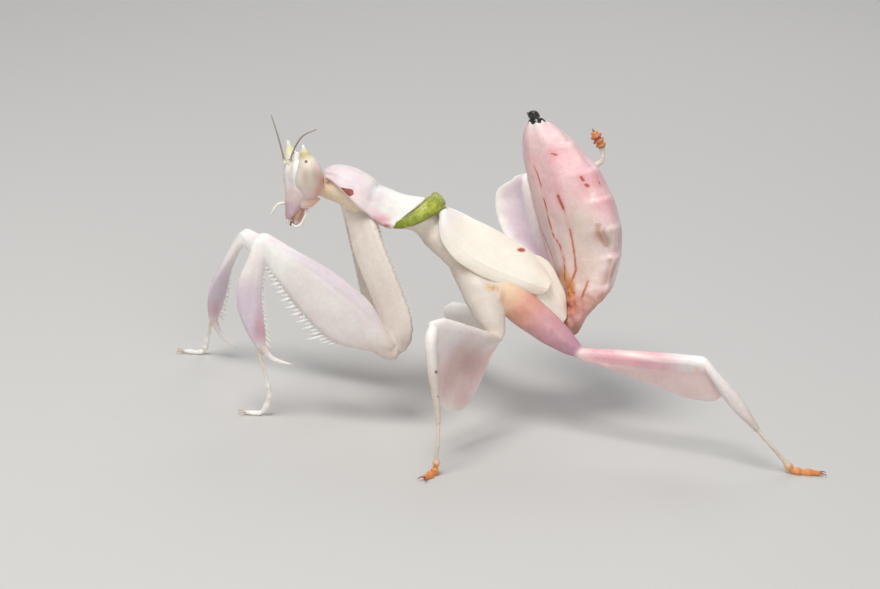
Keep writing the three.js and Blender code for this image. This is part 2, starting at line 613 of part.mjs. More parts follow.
// Each leg length is cut back from the trunk and from the length before it.
const trunkSolids = [shield, collarBand, thoraxFront, thoraxRear, ...pads];
const trunkInPlace = trunkSolids.map((solid) => solid.clone().applyMatrix4(trunk.matrix));
const abdomenInPlace = abdomen.children.slice(0, segmentsNearLegs).map((mesh) => (
  mesh.geometry.clone().applyMatrix4(abdomen.matrix).applyMatrix4(trunk.matrix)));
const placedCoxae = [];
for (const [legName, lengths] of Object.entries(legShapes)) {
  const coxa = clear(lengths.coxa, ...trunkInPlace, ...abdomenInPlace, ...placedCoxae);
  const femur = clear(lengths.femur, coxa, ...placedCoxae);
  const tibia = clear(lengths.tibia, femur);
  const tarsus = clear(lengths.tarsus, tibia);
  placedCoxae.push(coxa);
  const footColour = legName.startsWith('fore') ? colours.cream : colours.orange;
  mantis.add(
    piece(`leg_${legName}_coxa`, coxa, colours.cream),
    piece(`leg_${legName}_femur`, femur, colours.pearl),
    piece(`leg_${legName}_tibia`, tibia, colours.pearl),
    piece(`leg_${legName}_tarsus`, tarsus, footColour, 0.5),
  );
}

export default mantis;
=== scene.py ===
# An orchid mantis, a young female with wing pads, as a still life-size model.
import json
import math
import bpy
import bmesh
from mathutils import Matrix, Vector, noise

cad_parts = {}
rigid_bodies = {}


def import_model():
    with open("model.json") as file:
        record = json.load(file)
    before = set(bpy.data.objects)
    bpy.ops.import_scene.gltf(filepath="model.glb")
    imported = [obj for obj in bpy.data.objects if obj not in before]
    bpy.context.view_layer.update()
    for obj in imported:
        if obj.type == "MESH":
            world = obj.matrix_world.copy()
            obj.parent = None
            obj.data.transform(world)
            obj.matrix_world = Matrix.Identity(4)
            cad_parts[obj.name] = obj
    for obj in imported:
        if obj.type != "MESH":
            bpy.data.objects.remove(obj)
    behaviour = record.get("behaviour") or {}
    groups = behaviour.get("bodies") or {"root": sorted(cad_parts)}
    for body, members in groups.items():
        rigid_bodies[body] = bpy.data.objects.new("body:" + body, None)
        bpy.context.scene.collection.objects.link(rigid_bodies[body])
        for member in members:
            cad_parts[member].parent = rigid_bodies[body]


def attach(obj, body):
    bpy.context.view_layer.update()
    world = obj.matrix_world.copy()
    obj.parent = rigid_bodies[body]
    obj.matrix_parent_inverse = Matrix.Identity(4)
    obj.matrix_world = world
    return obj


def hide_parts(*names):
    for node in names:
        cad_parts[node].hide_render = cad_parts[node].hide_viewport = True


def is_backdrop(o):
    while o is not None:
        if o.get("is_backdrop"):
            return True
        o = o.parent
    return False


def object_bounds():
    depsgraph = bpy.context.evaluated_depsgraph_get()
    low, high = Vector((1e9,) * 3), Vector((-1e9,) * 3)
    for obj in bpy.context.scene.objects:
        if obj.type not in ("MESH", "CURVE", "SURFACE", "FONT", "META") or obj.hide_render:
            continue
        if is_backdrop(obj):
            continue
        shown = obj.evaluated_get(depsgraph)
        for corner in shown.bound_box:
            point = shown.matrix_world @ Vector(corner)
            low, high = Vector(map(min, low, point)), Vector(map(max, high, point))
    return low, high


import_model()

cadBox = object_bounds()
mm = 0.001  # pieces are modelled in millimetres and brought to metres when they are done
sharpAngle = 50  # degrees from which an edge is drawn sharp

stance = {
    "shift": -3.2, "lean": 14, "leanHeight": 11,
    "headPlace": (-18.5, 0, 20), "headTurn": 20,
    "abdomenPlace": (6.7, 0, 10.2), "abdomenTilt": 15.3, "abdomenTwist": 28,
}

palette = {
    "pearl": "#efeae8", "white": "#f6f3ec", "lilac": "#e0d3e0", "cream": "#f1e7d8", "ivory": "#f4eee0",
    "beige": "#dccdbd", "sand": "#d9c0a4", "honey": "#e2b878", "peach": "#ebcaa6", "salmon": "#dc9c84",
    "rose": "#e9b3bd", "blush": "#f0cfd0", "mauve": "#bb9199", "plum": "#c08aa0", "pink": "#e59fac",
    "shell": "#f3dedb", "lavender": "#dcc3d8", "orange": "#dd8a33", "amber": "#e6a04a", "rust": "#a8512a",
    "wine": "#8a2a20", "brown": "#a5785a", "darkBrown": "#5a3a2c", "black": "#17130f", "smoke": "#8d857b",
    "green": "#8f9a22", "lime": "#b5bd45", "moss": "#5d6a1c", "lemon": "#e8e4c0", "coral": "#de8d74",
    "blossom": "#d39aa0", "tan": "#c39a80", "butter": "#ecd5b4", "sage": "#c3c795", "crimson": "#b34a3c",
    "heather": "#cfa6b4", "dusk": "#caa5aa", "ember": "#c8683a", "oat": "#dfd6cb", "fawn": "#d3c4b6",
    "petal": "#f5cbcc", "haze": "#ead3d0", "ash": "#e2dcd8", "linen": "#d2c7ba", "dust": "#c6a29a",
    "bright": "#fffdf8", "ochre": "#b8683c", "clay": "#cf9a88", "taupe": "#bfae9e", "veil": "#e9d9db",
    "wheat": "#ffe8c8", "apricot": "#e9c4ae",
}


def colourOf(name):
    text = palette[name]
    parts = [int(text[i:i + 2], 16) / 255 for i in (1, 3, 5)]
    return Vector([c / 12.92 if c <= 0.04045 else ((c + 0.055) / 1.055) ** 2.4 for c in parts])


def turned(axis, degrees):
    return Matrix.Rotation(math.radians(degrees), 4, axis)


standing = Matrix.Translation((0, stance["shift"], 0))
leanPoint = Matrix.Translation((0, 0, stance["leanHeight"]))
trunkFrame = standing @ leanPoint @ turned("X", -stance["lean"]) @ leanPoint.inverted()
headFrame = trunkFrame @ Matrix.Translation(stance["headPlace"]) @ turned("Z", stance["headTurn"])
abdomenFrame = (trunkFrame @ Matrix.Translation(stance["abdomenPlace"])
                @ turned("Y", -stance["abdomenTilt"]) @ turned("Z", stance["abdomenTwist"]))


# Modelling helpers.

def evenly(count):
    return [i / (count - 1) for i in range(count)]


def keyed(keys, t):  # value of a smooth curve through [share, value] keys
    if not isinstance(keys, (list, tuple)):
        return keys
    last = len(keys) - 1
    i = max([k for k in range(last) if keys[k][0] <= t] or [0])
    slope = lambda k: ((keys[min(k + 1, last)][1] - keys[max(k - 1, 0)][1])
                       / (keys[min(k + 1, last)][0] - keys[max(k - 1, 0)][0]))
    span = keys[i + 1][0] - keys[i][0]
    u = min(max((t - keys[i][0]) / span, 0), 1)
    start, end = keys[i][1], keys[i + 1][1]
    return (start * (2 * u ** 3 - 3 * u ** 2 + 1) + end * (3 * u ** 2 - 2 * u ** 3)
            + slope(i) * span * (u ** 3 - 2 * u ** 2 + u) + slope(i + 1) * span * (u ** 3 - u ** 2))


def spread(*values):  # keys for values that lie evenly along a piece
    return list(zip(evenly(len(values)), values))


def widened(keys, factor):
    return [[share, value * factor] for share, value in keys]


def eased(value):
    u = min(max(value, 0), 1)
    return u * u * (3 - 2 * u)


def bump(value, centre, width):
    return math.exp(-((value - centre) / width) ** 2)


def between(a, b, c, d, t):  # smooth step from b to c on a curve that also passes a and d
    k1 = (b - a).length ** 0.5
    k2 = k1 + (c - b).length ** 0.5
    k3 = k2 + (d - c).length ** 0.5
    u = k1 + (k2 - k1) * t
    p, q, r = a.lerp(b, u / k1), b.lerp(c, (u - k1) / (k2 - k1)), c.lerp(d, (u - k2) / (k3 - k2))
    return p.lerp(q, u / k2).lerp(q.lerp(r, (u - k1) / (k3 - k1)), (u - k1) / (k2 - k1))


def route(points, shares, steps=24):  # (place, direction) at shares of the length of a smooth curve
    knots = [Vector(p) for p in points]
    knots = [2 * knots[0] - knots[1], *knots, 2 * knots[-1] - knots[-2]]
    line = [between(*knots[i:i + 4], s / steps) for i in range(len(knots) - 3) for s in range(steps)]
    line.append(knots[-2])
    reach = [0]
    for a, b in zip(line, line[1:]):
        reach.append(reach[-1] + (b - a).length)
    found = []
    i = 0
    for share in shares:
        goal = share * reach[-1]
        while i < len(line) - 2 and reach[i + 1] < goal:
            i += 1
        part = (goal - reach[i]) / max(reach[i + 1] - reach[i], 1e-9)
        found.append((line[i].lerp(line[i + 1], part), (line[i + 1] - line[i]).normalized()))
    return found


domeSteps = (80, 58, 32)  # degrees round a domed end


def limb(points, up, wide, high, count, low=None, hanging=False, domes=(0.4, 0.4)):
    # Rings for a loft along a curve: share, centre, side, lift, half width, height above and below, direction.
    rings = []
    for t, (place, forward) in zip(evenly(count), route(points, evenly(count))):
        side = Vector(up).cross(forward).normalized()
        lift = Vector(up).normalized() if hanging else forward.cross(side).normalized()
        above = keyed(high, t)
        below = above if low is None else keyed(low, t)
        rings.append((t, place, side, lift, keyed(wide, t), above, below, forward))
    return domed(rings, domes)


def domed(rings, domes):
    made = list(rings)
    for end, dome, sign in ((rings[0], domes[0], -1), (rings[-1], domes[1], 1)):
        t, place, side, lift, wide, above, below, forward = end
        cap = []
        for angle in domeSteps:
            shrink = math.cos(math.radians(angle))
            move = place + forward * sign * dome * math.sin(math.radians(angle))
            cap.append((t, move, side, lift, wide * shrink, above * shrink, below * shrink, forward))
        made = cap + made if sign < 0 else made + cap[::-1]
    return made


def stationKeys(stations):  # a station has two points (x, z) on the middle plane, and a half width
    return [spread(*values) for values in zip(*((*first, *second, wide) for first, second, wide in stations))]


def trunkRings(stations, count):  # rings across the trunk, between its top and bottom points
    keys = stationKeys(stations)
    rings = []
    for t in evenly(count):
        topX, topZ, lowX, lowZ, wide = [keyed(k, t) for k in keys]
        top, low = Vector((topX, 0, topZ)), Vector((lowX, 0, lowZ))
        centre = low.lerp(top, 0.5)
        lift = (top - low).normalized()
        side = Vector((0, 1, 0))
        rings.append((t, centre, side, lift, wide, (top - centre).length, (low - centre).length,
                      side.cross(lift).normalized()))
    return domed(rings, (0.3, 0.3))


def upright(t, place, wide, deep):  # a level ring, as deep to the front as to the back
    return t, place, Vector((0, 1, 0)), Vector((1, 0, 0)), wide, deep, deep, Vector((0, 0, 1))


def only(piece):  # makes a piece the only one selected, and the active one
    bpy.ops.object.select_all(action="DESELECT")
    piece.select_set(True)
    bpy.context.view_layer.objects.active = piece
    return piece


def apply(piece, kind, **settings):
    only(piece)
    modifier = piece.modifiers.new(kind.lower(), kind)
    for key, value in settings.items():
        setattr(modifier, key, value)
    bpy.ops.object.modifier_apply(modifier=modifier.name)
    return piece


def pick(piece, wanted):  # selects the vertices that the test accepts, in edit mode
    bpy.ops.mesh.select_all(action="DESELECT")
    form = bmesh.from_edit_mesh(piece.data)
    for vertex in form.verts:
        vertex.select_set(wanted(vertex))
    form.select_flush(True)
    bmesh.update_edit_mesh(piece.data)


def newPiece(name):
    piece = bpy.data.objects.new(name, bpy.data.meshes.new(name))
    bpy.context.scene.collection.objects.link(piece)
    return only(piece)


def measure(piece, name, values):  # keeps a number at each vertex
    kept = piece.data.attributes.new(name, "FLOAT", "POINT")
    kept.data.foreach_set("value", values)


def measured(piece, name):
    values = [0.0] * len(piece.data.vertices)
    piece.data.attributes[name].data.foreach_get("value", values)
    return values


def roundSection(across, rise, wide, above, below):
    return across * wide, rise * (above if rise > 0 else below)


def hungSection(thin):  # a round rod above, drawn down into a thin leaf with a rounded edge
    def section(across, rise, wide, above, below):
        if rise >= 0:
            return across * wide, rise * above
        drop = -rise
        half = thin + (wide - thin) * (1 - eased(drop * below / (wide * 3)))
        half *= math.sqrt(max(1 - drop ** 8, 0))
        return math.copysign(half, across) if abs(across) > 1e-4 else 0, rise * below
    return section


def surfaced(piece, smooth, tones):  # outward faces, a smooth surface, and the first colours
    bpy.ops.object.mode_set(mode="EDIT")
    bpy.ops.mesh.select_all(action="SELECT")
    bpy.ops.mesh.normals_make_consistent(inside=False)
    bpy.ops.object.mode_set(mode="OBJECT")
    if smooth:
        apply(piece, "SUBSURF", levels=smooth, render_levels=smooth)
    return tint(piece, tones)


def loft(name, rings, points, tones, smooth=1, section=roundSection):
    # Circles are added at their places, shaped, and bridged into one skin with closed ends.
    piece = newPiece(name)
    bpy.ops.object.mode_set(mode="EDIT")
    alongs, sides, lifts = [], [], []
    for t, centre, side, lift, wide, above, below, _ in rings:
        turn = Matrix((side, lift, side.cross(lift))).transposed().to_euler()
        bpy.ops.mesh.primitive_circle_add(vertices=points, radius=1, location=centre, rotation=turn)
        form = bmesh.from_edit_mesh(piece.data)
        form.verts.ensure_lookup_table()
        for vertex in form.verts[-points:]:
            across, rise = (vertex.co - centre).dot(side), (vertex.co - centre).dot(lift)
            x, y = section(across, rise, wide, above, below)
            vertex.co = centre + side * x + lift * y
            alongs.append(t)
            sides.append(across)
            lifts.append(rise)
        bmesh.update_edit_mesh(piece.data)
    bpy.ops.mesh.select_all(action="SELECT")
    bpy.ops.mesh.bridge_edge_loops()
    total = len(rings) * points
    for first in (0, total - points):
        pick(piece, lambda vertex: first <= vertex.index < first + points)
        bpy.ops.mesh.edge_face_add()
    bpy.ops.object.mode_set(mode="OBJECT")
    for key, values in (("along", alongs), ("side", sides), ("lift", lifts)):
        measure(piece, key, values)
    return surfaced(piece, smooth, tones)


def plate(name, columns, rows, pointAt, thickness, tones):
    # A thin curved leaf: a grid laid on a surface, given its thickness and a rounded rim.
    bpy.ops.object.select_all(action="DESELECT")
    bpy.ops.mesh.primitive_grid_add(x_subdivisions=columns, y_subdivisions=rows, size=2, location=(0, 0, 0))
    piece = bpy.context.object
    piece.name = name
    shares = [((v.co.x + 1) / 2, (v.co.y + 1) / 2) for v in piece.data.vertices]
    for vertex, (u, w) in zip(piece.data.vertices, shares):
        vertex.co = pointAt(u, w)
    measure(piece, "along", [u for u, _ in shares])
    measure(piece, "side", [w for _, w in shares])
    measure(piece, "lift", [0.0] * len(shares))
    apply(piece, "SOLIDIFY", thickness=thickness, offset=0, use_even_offset=False)
    return surfaced(piece, 1, tones)


def emboss(piece, height):  # raises or sinks the surface; height takes along, side, lift and place
    mesh = piece.data
    normals = [v.normal.copy() for v in mesh.vertices]
    values = zip(measured(piece, "along"), measured(piece, "side"), measured(piece, "lift"))
    for vertex, normal, (along, side, lift) in zip(mesh.vertices, normals, values):
        vertex.co += normal * height(along, side, lift, vertex.co)
    mesh.update()
    return piece


def tint(piece, tones):  # colours along a piece: one colour, or (share, colour) keys
    stops = [(share, colourOf(name)) for share, name in ([(0, tones)] if isinstance(tones, str) else tones)]
    colours = []
    for t in measured(piece, "along"):
        after = next((k for k, stop in enumerate(stops) if stop[0] > t), len(stops))
        low, high = stops[max(after - 1, 0)], stops[min(after, len(stops) - 1)]
        part = (t - low[0]) / (high[0] - low[0]) if high[0] > low[0] else 0
        colours.append(low[1].lerp(high[1], eased(part)))
    keepTone(piece, colours)
    return piece


def keepTone(piece, colours):
    old = piece.data.attributes.get("tone")
    if old:
        piece.data.attributes.remove(old)
    kept = piece.data.attributes.new("tone", "FLOAT_COLOR", "POINT")
    kept.data.foreach_set("color", [v for colour in colours for v in (*colour, 1)])


def mirrored(points, way):
    return [(x, way * y, z) for x, y, z in points]


def sided(dabs, *ways):  # dabs for the left (-1) or the right side, or for both
    return [((x, way * y, z), *dab) for way in ways for (x, y, z), *dab in dabs]


def airbrush(piece, dabs):  # soft dabs of colour: place, reach, colour, strength
    kept = piece.data.attributes["tone"]
    colours = [Vector(item.color[:3]) for item in kept.data]
    for place, reach, name, strength in dabs:
        centre, colour = Vector(place), colourOf(name)
        size = reach if isinstance(reach, tuple) else (reach,) * 3
        for i, vertex in enumerate(piece.data.vertices):
            away = vertex.co - centre
            far = math.sqrt(sum((away[k] / size[k]) ** 2 for k in range(3)))
            if far < 1:
                colours[i] = colours[i].lerp(colour, min(strength * eased(1 - far), 1))
    keepTone(piece, colours)
    return piece


def sweepTone(piece, name, weight):  # mixes in a colour where the weight of along, side, lift says
    colour = colourOf(name)
    kept = piece.data.attributes["tone"]
    values = zip(measured(piece, "along"), measured(piece, "side"), measured(piece, "lift"))
    keepTone(piece, [Vector(item.color[:3]).lerp(colour, min(max(weight(*v), 0), 1))
                     for item, v in zip(kept.data, values)])
    return piece


def together(name, pieces):  # joins pieces into one object
    only(pieces[0])
    for piece in pieces:
        piece.select_set(True)
    if len(pieces) > 1:
        bpy.ops.object.join()
    pieces[0].name = name
    return pieces[0]


def weld(name, pieces):  # unites closed pieces into one skin
    first, *others = pieces
    for other in others:
        apply(first, "BOOLEAN", operation="UNION", solver="MANIFOLD", object=other)
        bpy.data.objects.remove(other)
    first.name = name
    return first


blankTone = 0.985  # points made by a union start out white


def healTones(piece):  # blank points take the colour of their neighbours
    form = bmesh.new()
    form.from_mesh(piece.data)
    layer = form.verts.layers.float_color["tone"]
    blank = {v for v in form.verts if min(v[layer][:3]) > blankTone}
    while blank:
        found = {}
        for vertex in blank:
            near = [edge.other_vert(vertex) for edge in vertex.link_edges]
            near = [other[layer] for other in near if other not in blank]
            if near:
                found[vertex] = sum(near, Vector((0, 0, 0, 0))) / len(near)
        if not found:
            break
        for vertex, colour in found.items():
            vertex[layer] = colour
        blank -= set(found)
    form.to_mesh(piece.data)
    form.free()
    return piece


def softenJoins(piece, angle=18, reach=3, repeat=10):  # fills the creases where two lengths meet
    only(piece)
    bpy.ops.object.mode_set(mode="EDIT")
    bpy.ops.mesh.select_all(action="DESELECT")
    form = bmesh.from_edit_mesh(piece.data)
    for edge in form.edges:
        if len(edge.link_faces) == 2 and edge.calc_face_angle_signed() < -math.radians(angle):
            for vertex in edge.verts:
                vertex.select_set(True)
    form.select_flush_mode()
    bmesh.update_edit_mesh(piece.data)
    for _ in range(reach):
        bpy.ops.mesh.select_more()
    bpy.ops.mesh.vertices_smooth(factor=0.5, repeat=repeat)
    bpy.ops.object.mode_set(mode="OBJECT")
    return healTones(piece)


def moved(piece, matrix):
    piece.data.transform(matrix)
    return piece


def done(piece, name, material, nodes=()):
    piece.name = name
    piece.data.name = name
    piece.data.transform(Matrix.Scale(mm, 4))
    piece.data.materials.clear()
    piece.data.materials.append(material)
    only(piece)
    bpy.ops.object.shade_smooth_by_angle(angle=math.radians(sharpAngle))
    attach(piece, "root")
    if nodes:
        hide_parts(*nodes)
    return piece


# Shader helpers. Sums on the outputs of nodes are written as plain sums.

class Signal:
    def __init__(self, sheet, socket):
        self.sheet = sheet
        self.socket = socket

    def maths(self, operation, *values):
        return self.sheet.node("ShaderNodeMath", {"operation": operation}, values)

    def eased(self, low, high):  # 0 below low, 1 above high, smooth between
        settings = {"interpolation_type": "SMOOTHSTEP"}
        return self.sheet.node("ShaderNodeMapRange", settings, {"Value": self, "From Min": low, "From Max": high})


for name, kind in (("add", "ADD"), ("sub", "SUBTRACT"), ("mul", "MULTIPLY")):
    setattr(Signal, f"__{name}__", lambda a, b, kind=kind: a.maths(kind, a, b))
    setattr(Signal, f"__r{name}__", lambda a, b, kind=kind: a.maths(kind, b, a))


class Sheet:  # one material and its nodes, with places and sizes in millimetres
    def __init__(self, name):
        self.material = bpy.data.materials.new(name)
        self.material.use_nodes = True
        self.tree = self.material.node_tree
        self.shader = self.tree.nodes["Principled BSDF"]
        place = self.node("ShaderNodeTexCoord", {}, {}, "Object")
        self.place = self.node("ShaderNodeVectorMath", {"operation": "SCALE"}, {0: place, "Scale": 1 / mm})

    def node(self, kind, settings, inputs, output=0):
        made = self.tree.nodes.new(kind)
        for key, value in settings.items():
            setattr(made, key, value)
        pairs = inputs.items() if isinstance(inputs, dict) else enumerate(inputs)
        for key, value in pairs:
            self.give(made.inputs[key], value)
        return Signal(self, made.outputs[output])

    def give(self, socket, value):
        if isinstance(value, Signal):
            self.tree.links.new(value.socket, socket)
        else:
            socket.default_value = value

    def tone(self):
        return self.node("ShaderNodeAttribute", {"attribute_name": "tone"}, {}, "Color")

    def share(self, name):
        return self.node("ShaderNodeAttribute", {"attribute_name": name}, {}, "Fac")

    def noise(self, size, detail):
        return self.node("ShaderNodeTexNoise", {}, {"Vector": self.place, "Scale": 1 / size, "Detail": detail})

    def cells(self, size, feature="F1"):
        inputs = {"Vector": self.place, "Scale": 1 / size}
        return self.node("ShaderNodeTexVoronoi", {"feature": feature}, inputs, "Distance")

    def mix(self, factor, a, b):  # a colour can be given by its name
        colour = lambda c: (*colourOf(c), 1) if isinstance(c, str) else c
        return self.node("ShaderNodeMix", {"data_type": "RGBA"}, {0: factor, 6: colour(a), 7: colour(b)}, 2)

    def near(self, centre, reach, soft=0.35):  # 1 inside a ball at the place, in millimetres
        away = self.node("ShaderNodeVectorMath", {"operation": "DISTANCE"}, (self.place, Vector(centre)), 1)
        return 1 - away.eased(reach * (1 - soft), reach * (1 + soft))

    def finish(self, colour, roughness, height=None, depth=0.02, **constants):
        self.give(self.shader.inputs["Base Color"], colour)
        self.give(self.shader.inputs["Roughness"], roughness)
        if height is not None:
            relief = self.node("ShaderNodeBump", {}, {"Height": height, "Distance": depth * mm, "Strength": 1})
            self.give(self.shader.inputs["Normal"], relief)
        for key, value in constants.items():
            self.shader.inputs[key].default_value = value
        return self.material


softLook = {"Subsurface Weight": 0.3, "Subsurface Radius": (1, 0.55, 0.42), "Subsurface Scale": 0.0006}


def dotted(sheet, colour, dots):  # small dark dots: place, reach
    for place, reach in dots:
        colour = sheet.mix(sheet.near(place, reach) * 0.85, colour, "darkBrown")
    return colour


grain = {"cloud": 1.6, "fleck": 0.35, "wrinkle": 0.12, "smear": 0.8, "smearDepth": 0.14}  # sizes in millimetres


# Living cuticle: the tone laid on the mesh, mottled, with fine pores and a waxy gloss.
def cuticle(name, mottle=0.12, pore=0.16, relief=0.012, roughness=0.42, marks=None, **constants):
    sheet = Sheet(name)
    tone = sheet.tone()
    cloud = sheet.noise(grain["cloud"], 4)
    lighter = sheet.mix(mottle, tone, "white")
    darker = sheet.mix(mottle * 1.3, tone, "mauve")
    fleck = cloud * 0.7 + sheet.noise(grain["fleck"], 3) * 0.5 - 0.1
    colour = sheet.mix(fleck.eased(0.3, 0.75), darker, lighter)
    height = sheet.cells(pore).eased(0, 0.6) * 0.7 + sheet.noise(grain["wrinkle"], 2) * 0.5 + cloud * 1.2
    if marks:
        colour, height = marks(sheet, colour, height)
    shine = roughness + sheet.noise(grain["smear"], 2) * grain["smearDepth"] - grain["smearDepth"] / 2
    return sheet.finish(colour, shine, height, relief, **{**softLook, "Coat Roughness": 0.3, **constants})


print("helpers ready")

# Camera, floor and light.
studio = {
    "camera": (-5.4, -209.93, 86.44), "aim": (-5.4, -3.2, 11.2), "roll": 4.5, "lens": 100,
    "floorSize": 3.0, "floorLevel": -0.02,  # metres, and millimetres
    "paper": (0.58, 0.57, 0.555, 1), "shade": (0.5, 0.49, 0.47, 1),
    "sky": (0.97, 0.98, 1, 1), "skyStrength": 0.36,
    "lamps": (  # place, size, watts, colour
        ((-70, -80, 250), 120, 0.46, (1, 0.985, 0.96)),
        ((60, -230, 130), 160, 0.17, (1, 0.98, 0.96)),
        ((40, 190, 170), 160, 0.13, (0.95, 0.97, 1)),
    ),
}


def hung(name, data, place, turn):  # a camera or a lamp, turned and put in its place
    made = bpy.data.objects.new(name, data)
    made.matrix_world = Matrix.Translation(Vector(place) * mm) @ turn.to_4x4()
    bpy.context.scene.collection.objects.link(made)
    return made


def makeStudio():
    forward = (Vector(studio["aim"]) - Vector(studio["camera"])).normalized()
    level = forward.cross(Vector((0, 0, 1))).normalized()
    plumb = level.cross(forward)
    roll = math.radians(studio["roll"])
    right = level * math.cos(roll) + plumb * math.sin(roll)
    top = plumb * math.cos(roll) - level * math.sin(roll)
    lens = bpy.data.cameras.new("camera")
    lens.lens = studio["lens"]
    lens.clip_start, lens.clip_end = 0.005, 10
    turn = Matrix((right, top, -forward)).transposed()
    bpy.context.scene.camera = hung("camera", lens, studio["camera"], turn)
    for i, (place, size, watts, colour) in enumerate(studio["lamps"]):
        light = bpy.data.lights.new(f"lamp{i}", "AREA")
        light.shape = "DISK"
        light.size = size * mm
        light.energy = watts
        light.color = colour
        aim = (Vector(studio["aim"]) - Vector(place)).to_track_quat("-Z", "Y")
        hung(f"lamp{i}", light, place, aim.to_matrix())
    world = bpy.data.worlds.new("studio")
    world.use_nodes = True
    glow = world.node_tree.nodes["Background"]
    glow.inputs["Color"].default_value = studio["sky"]
    glow.inputs["Strength"].default_value = studio["skyStrength"]
    bpy.context.scene.world = world
    bpy.ops.object.select_all(action="DESELECT")
    bpy.ops.mesh.primitive_plane_add(size=studio["floorSize"], location=(0, 0, studio["floorLevel"] * mm))
    floor = bpy.context.object
    floor.name = "floor"
    sheet = Sheet("paper")
    fleck = sheet.noise(3, 4)
    shade = sheet.mix(fleck * 0.08, studio["paper"], studio["shade"])
    floor.data.materials.append(sheet.finish(shade, 0.85, fleck, 0.02))
    floor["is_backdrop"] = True
    bpy.context.scene.view_settings.view_transform = "Standard"


makeStudio()
print("studio ready")

# Trunk: one run of rings from the neck to the waist; top point, bottom point and half width of each.
trunk = {
    "stations": (
        ((-15.9, 21.35), (-15.7, 18.95), 1.55), ((-15.0, 21.6), (-14.9, 18.6), 2.1),
        ((-13.7, 21.2), (-13.8, 17.95), 2.35), ((-12.2, 20.4), (-12.6, 17.45), 2.3),
        ((-10.8, 19.7), (-11.8, 17.15), 2.15), ((-9.3, 19.2), (-11.0, 16.95), 1.95),
        ((-7.9, 19.0), (-10.3, 16.9), 1.9), ((-6.8, 18.9), (-9.3, 16.8), 1.85),
        ((-5.75, 18.6), (-8.1, 16.7), 1.9), ((-4.6, 17.8), (-7.0, 15.5), 2.2),
        ((-3.2, 17.1), (-5.4, 14.2), 2.35), ((-1.7, 16.2), (-3.7, 12.9), 2.35),
        ((-0.2, 15.4), (-1.8, 12.1), 2.3), ((1.4, 14.5), (0.1, 11.4), 2.1),
        ((3.0, 13.4), (2.0, 10.6), 1.85), ((4.6, 11.9), (3.9, 9.9), 1.5), ((5.9, 11.3), (5.5, 9.4), 1.15),
    ),
    # wheat at the neck end is lighter than the trunk's own cream: partly its own colour, partly painted light on
    # the part that the shield shades
    "tones": ((0, "wheat"), (0.2, "wheat"), (0.4, "ivory"), (0.6, "cream"), (0.75, "butter"), (0.9, "salmon"),
              (1, "brown")),
    "neck": ((-17.9, 0.5, 20.3), (-16.3, 0.1, 19.95), (-14.2, 0, 19.4)),
    "neckWidths": spread(0.9, 1.3, 1.9), "neckHeights": spread(0.7, 1.0), "neckDepths": spread(0.75, 0.95, 1.0),
    # the neck's wheat is likewise partly painted light under the head and shield
    "neckTones": spread("wheat", "butter", "wheat"),
}


def folds(along, side, lift, place):  # soft skin that creases between the plates
    wave = math.sin(along * 70 + 2.2 * math.sin(side * 4)) * 0.05
    return wave * (1 - abs(lift)) + 0.09 * (noise.noise(place * 0.9) + 0.5 * noise.noise(place * 2.1))


def makeTrunk():
    body = emboss(loft("trunk", trunkRings(trunk["stations"], 40), 24, trunk["tones"]), folds)
    tube = limb(trunk["neck"], (0.5, 0, 1), trunk["neckWidths"], trunk["neckHeights"], 14, trunk["neckDepths"])
    skin = loft("neck", tube, 20, trunk["neckTones"])
    emboss(skin, lambda along, side, lift, place: 0.05 * math.sin(along * 26 + side))
    return [moved(body, trunkFrame), moved(skin, trunkFrame)]


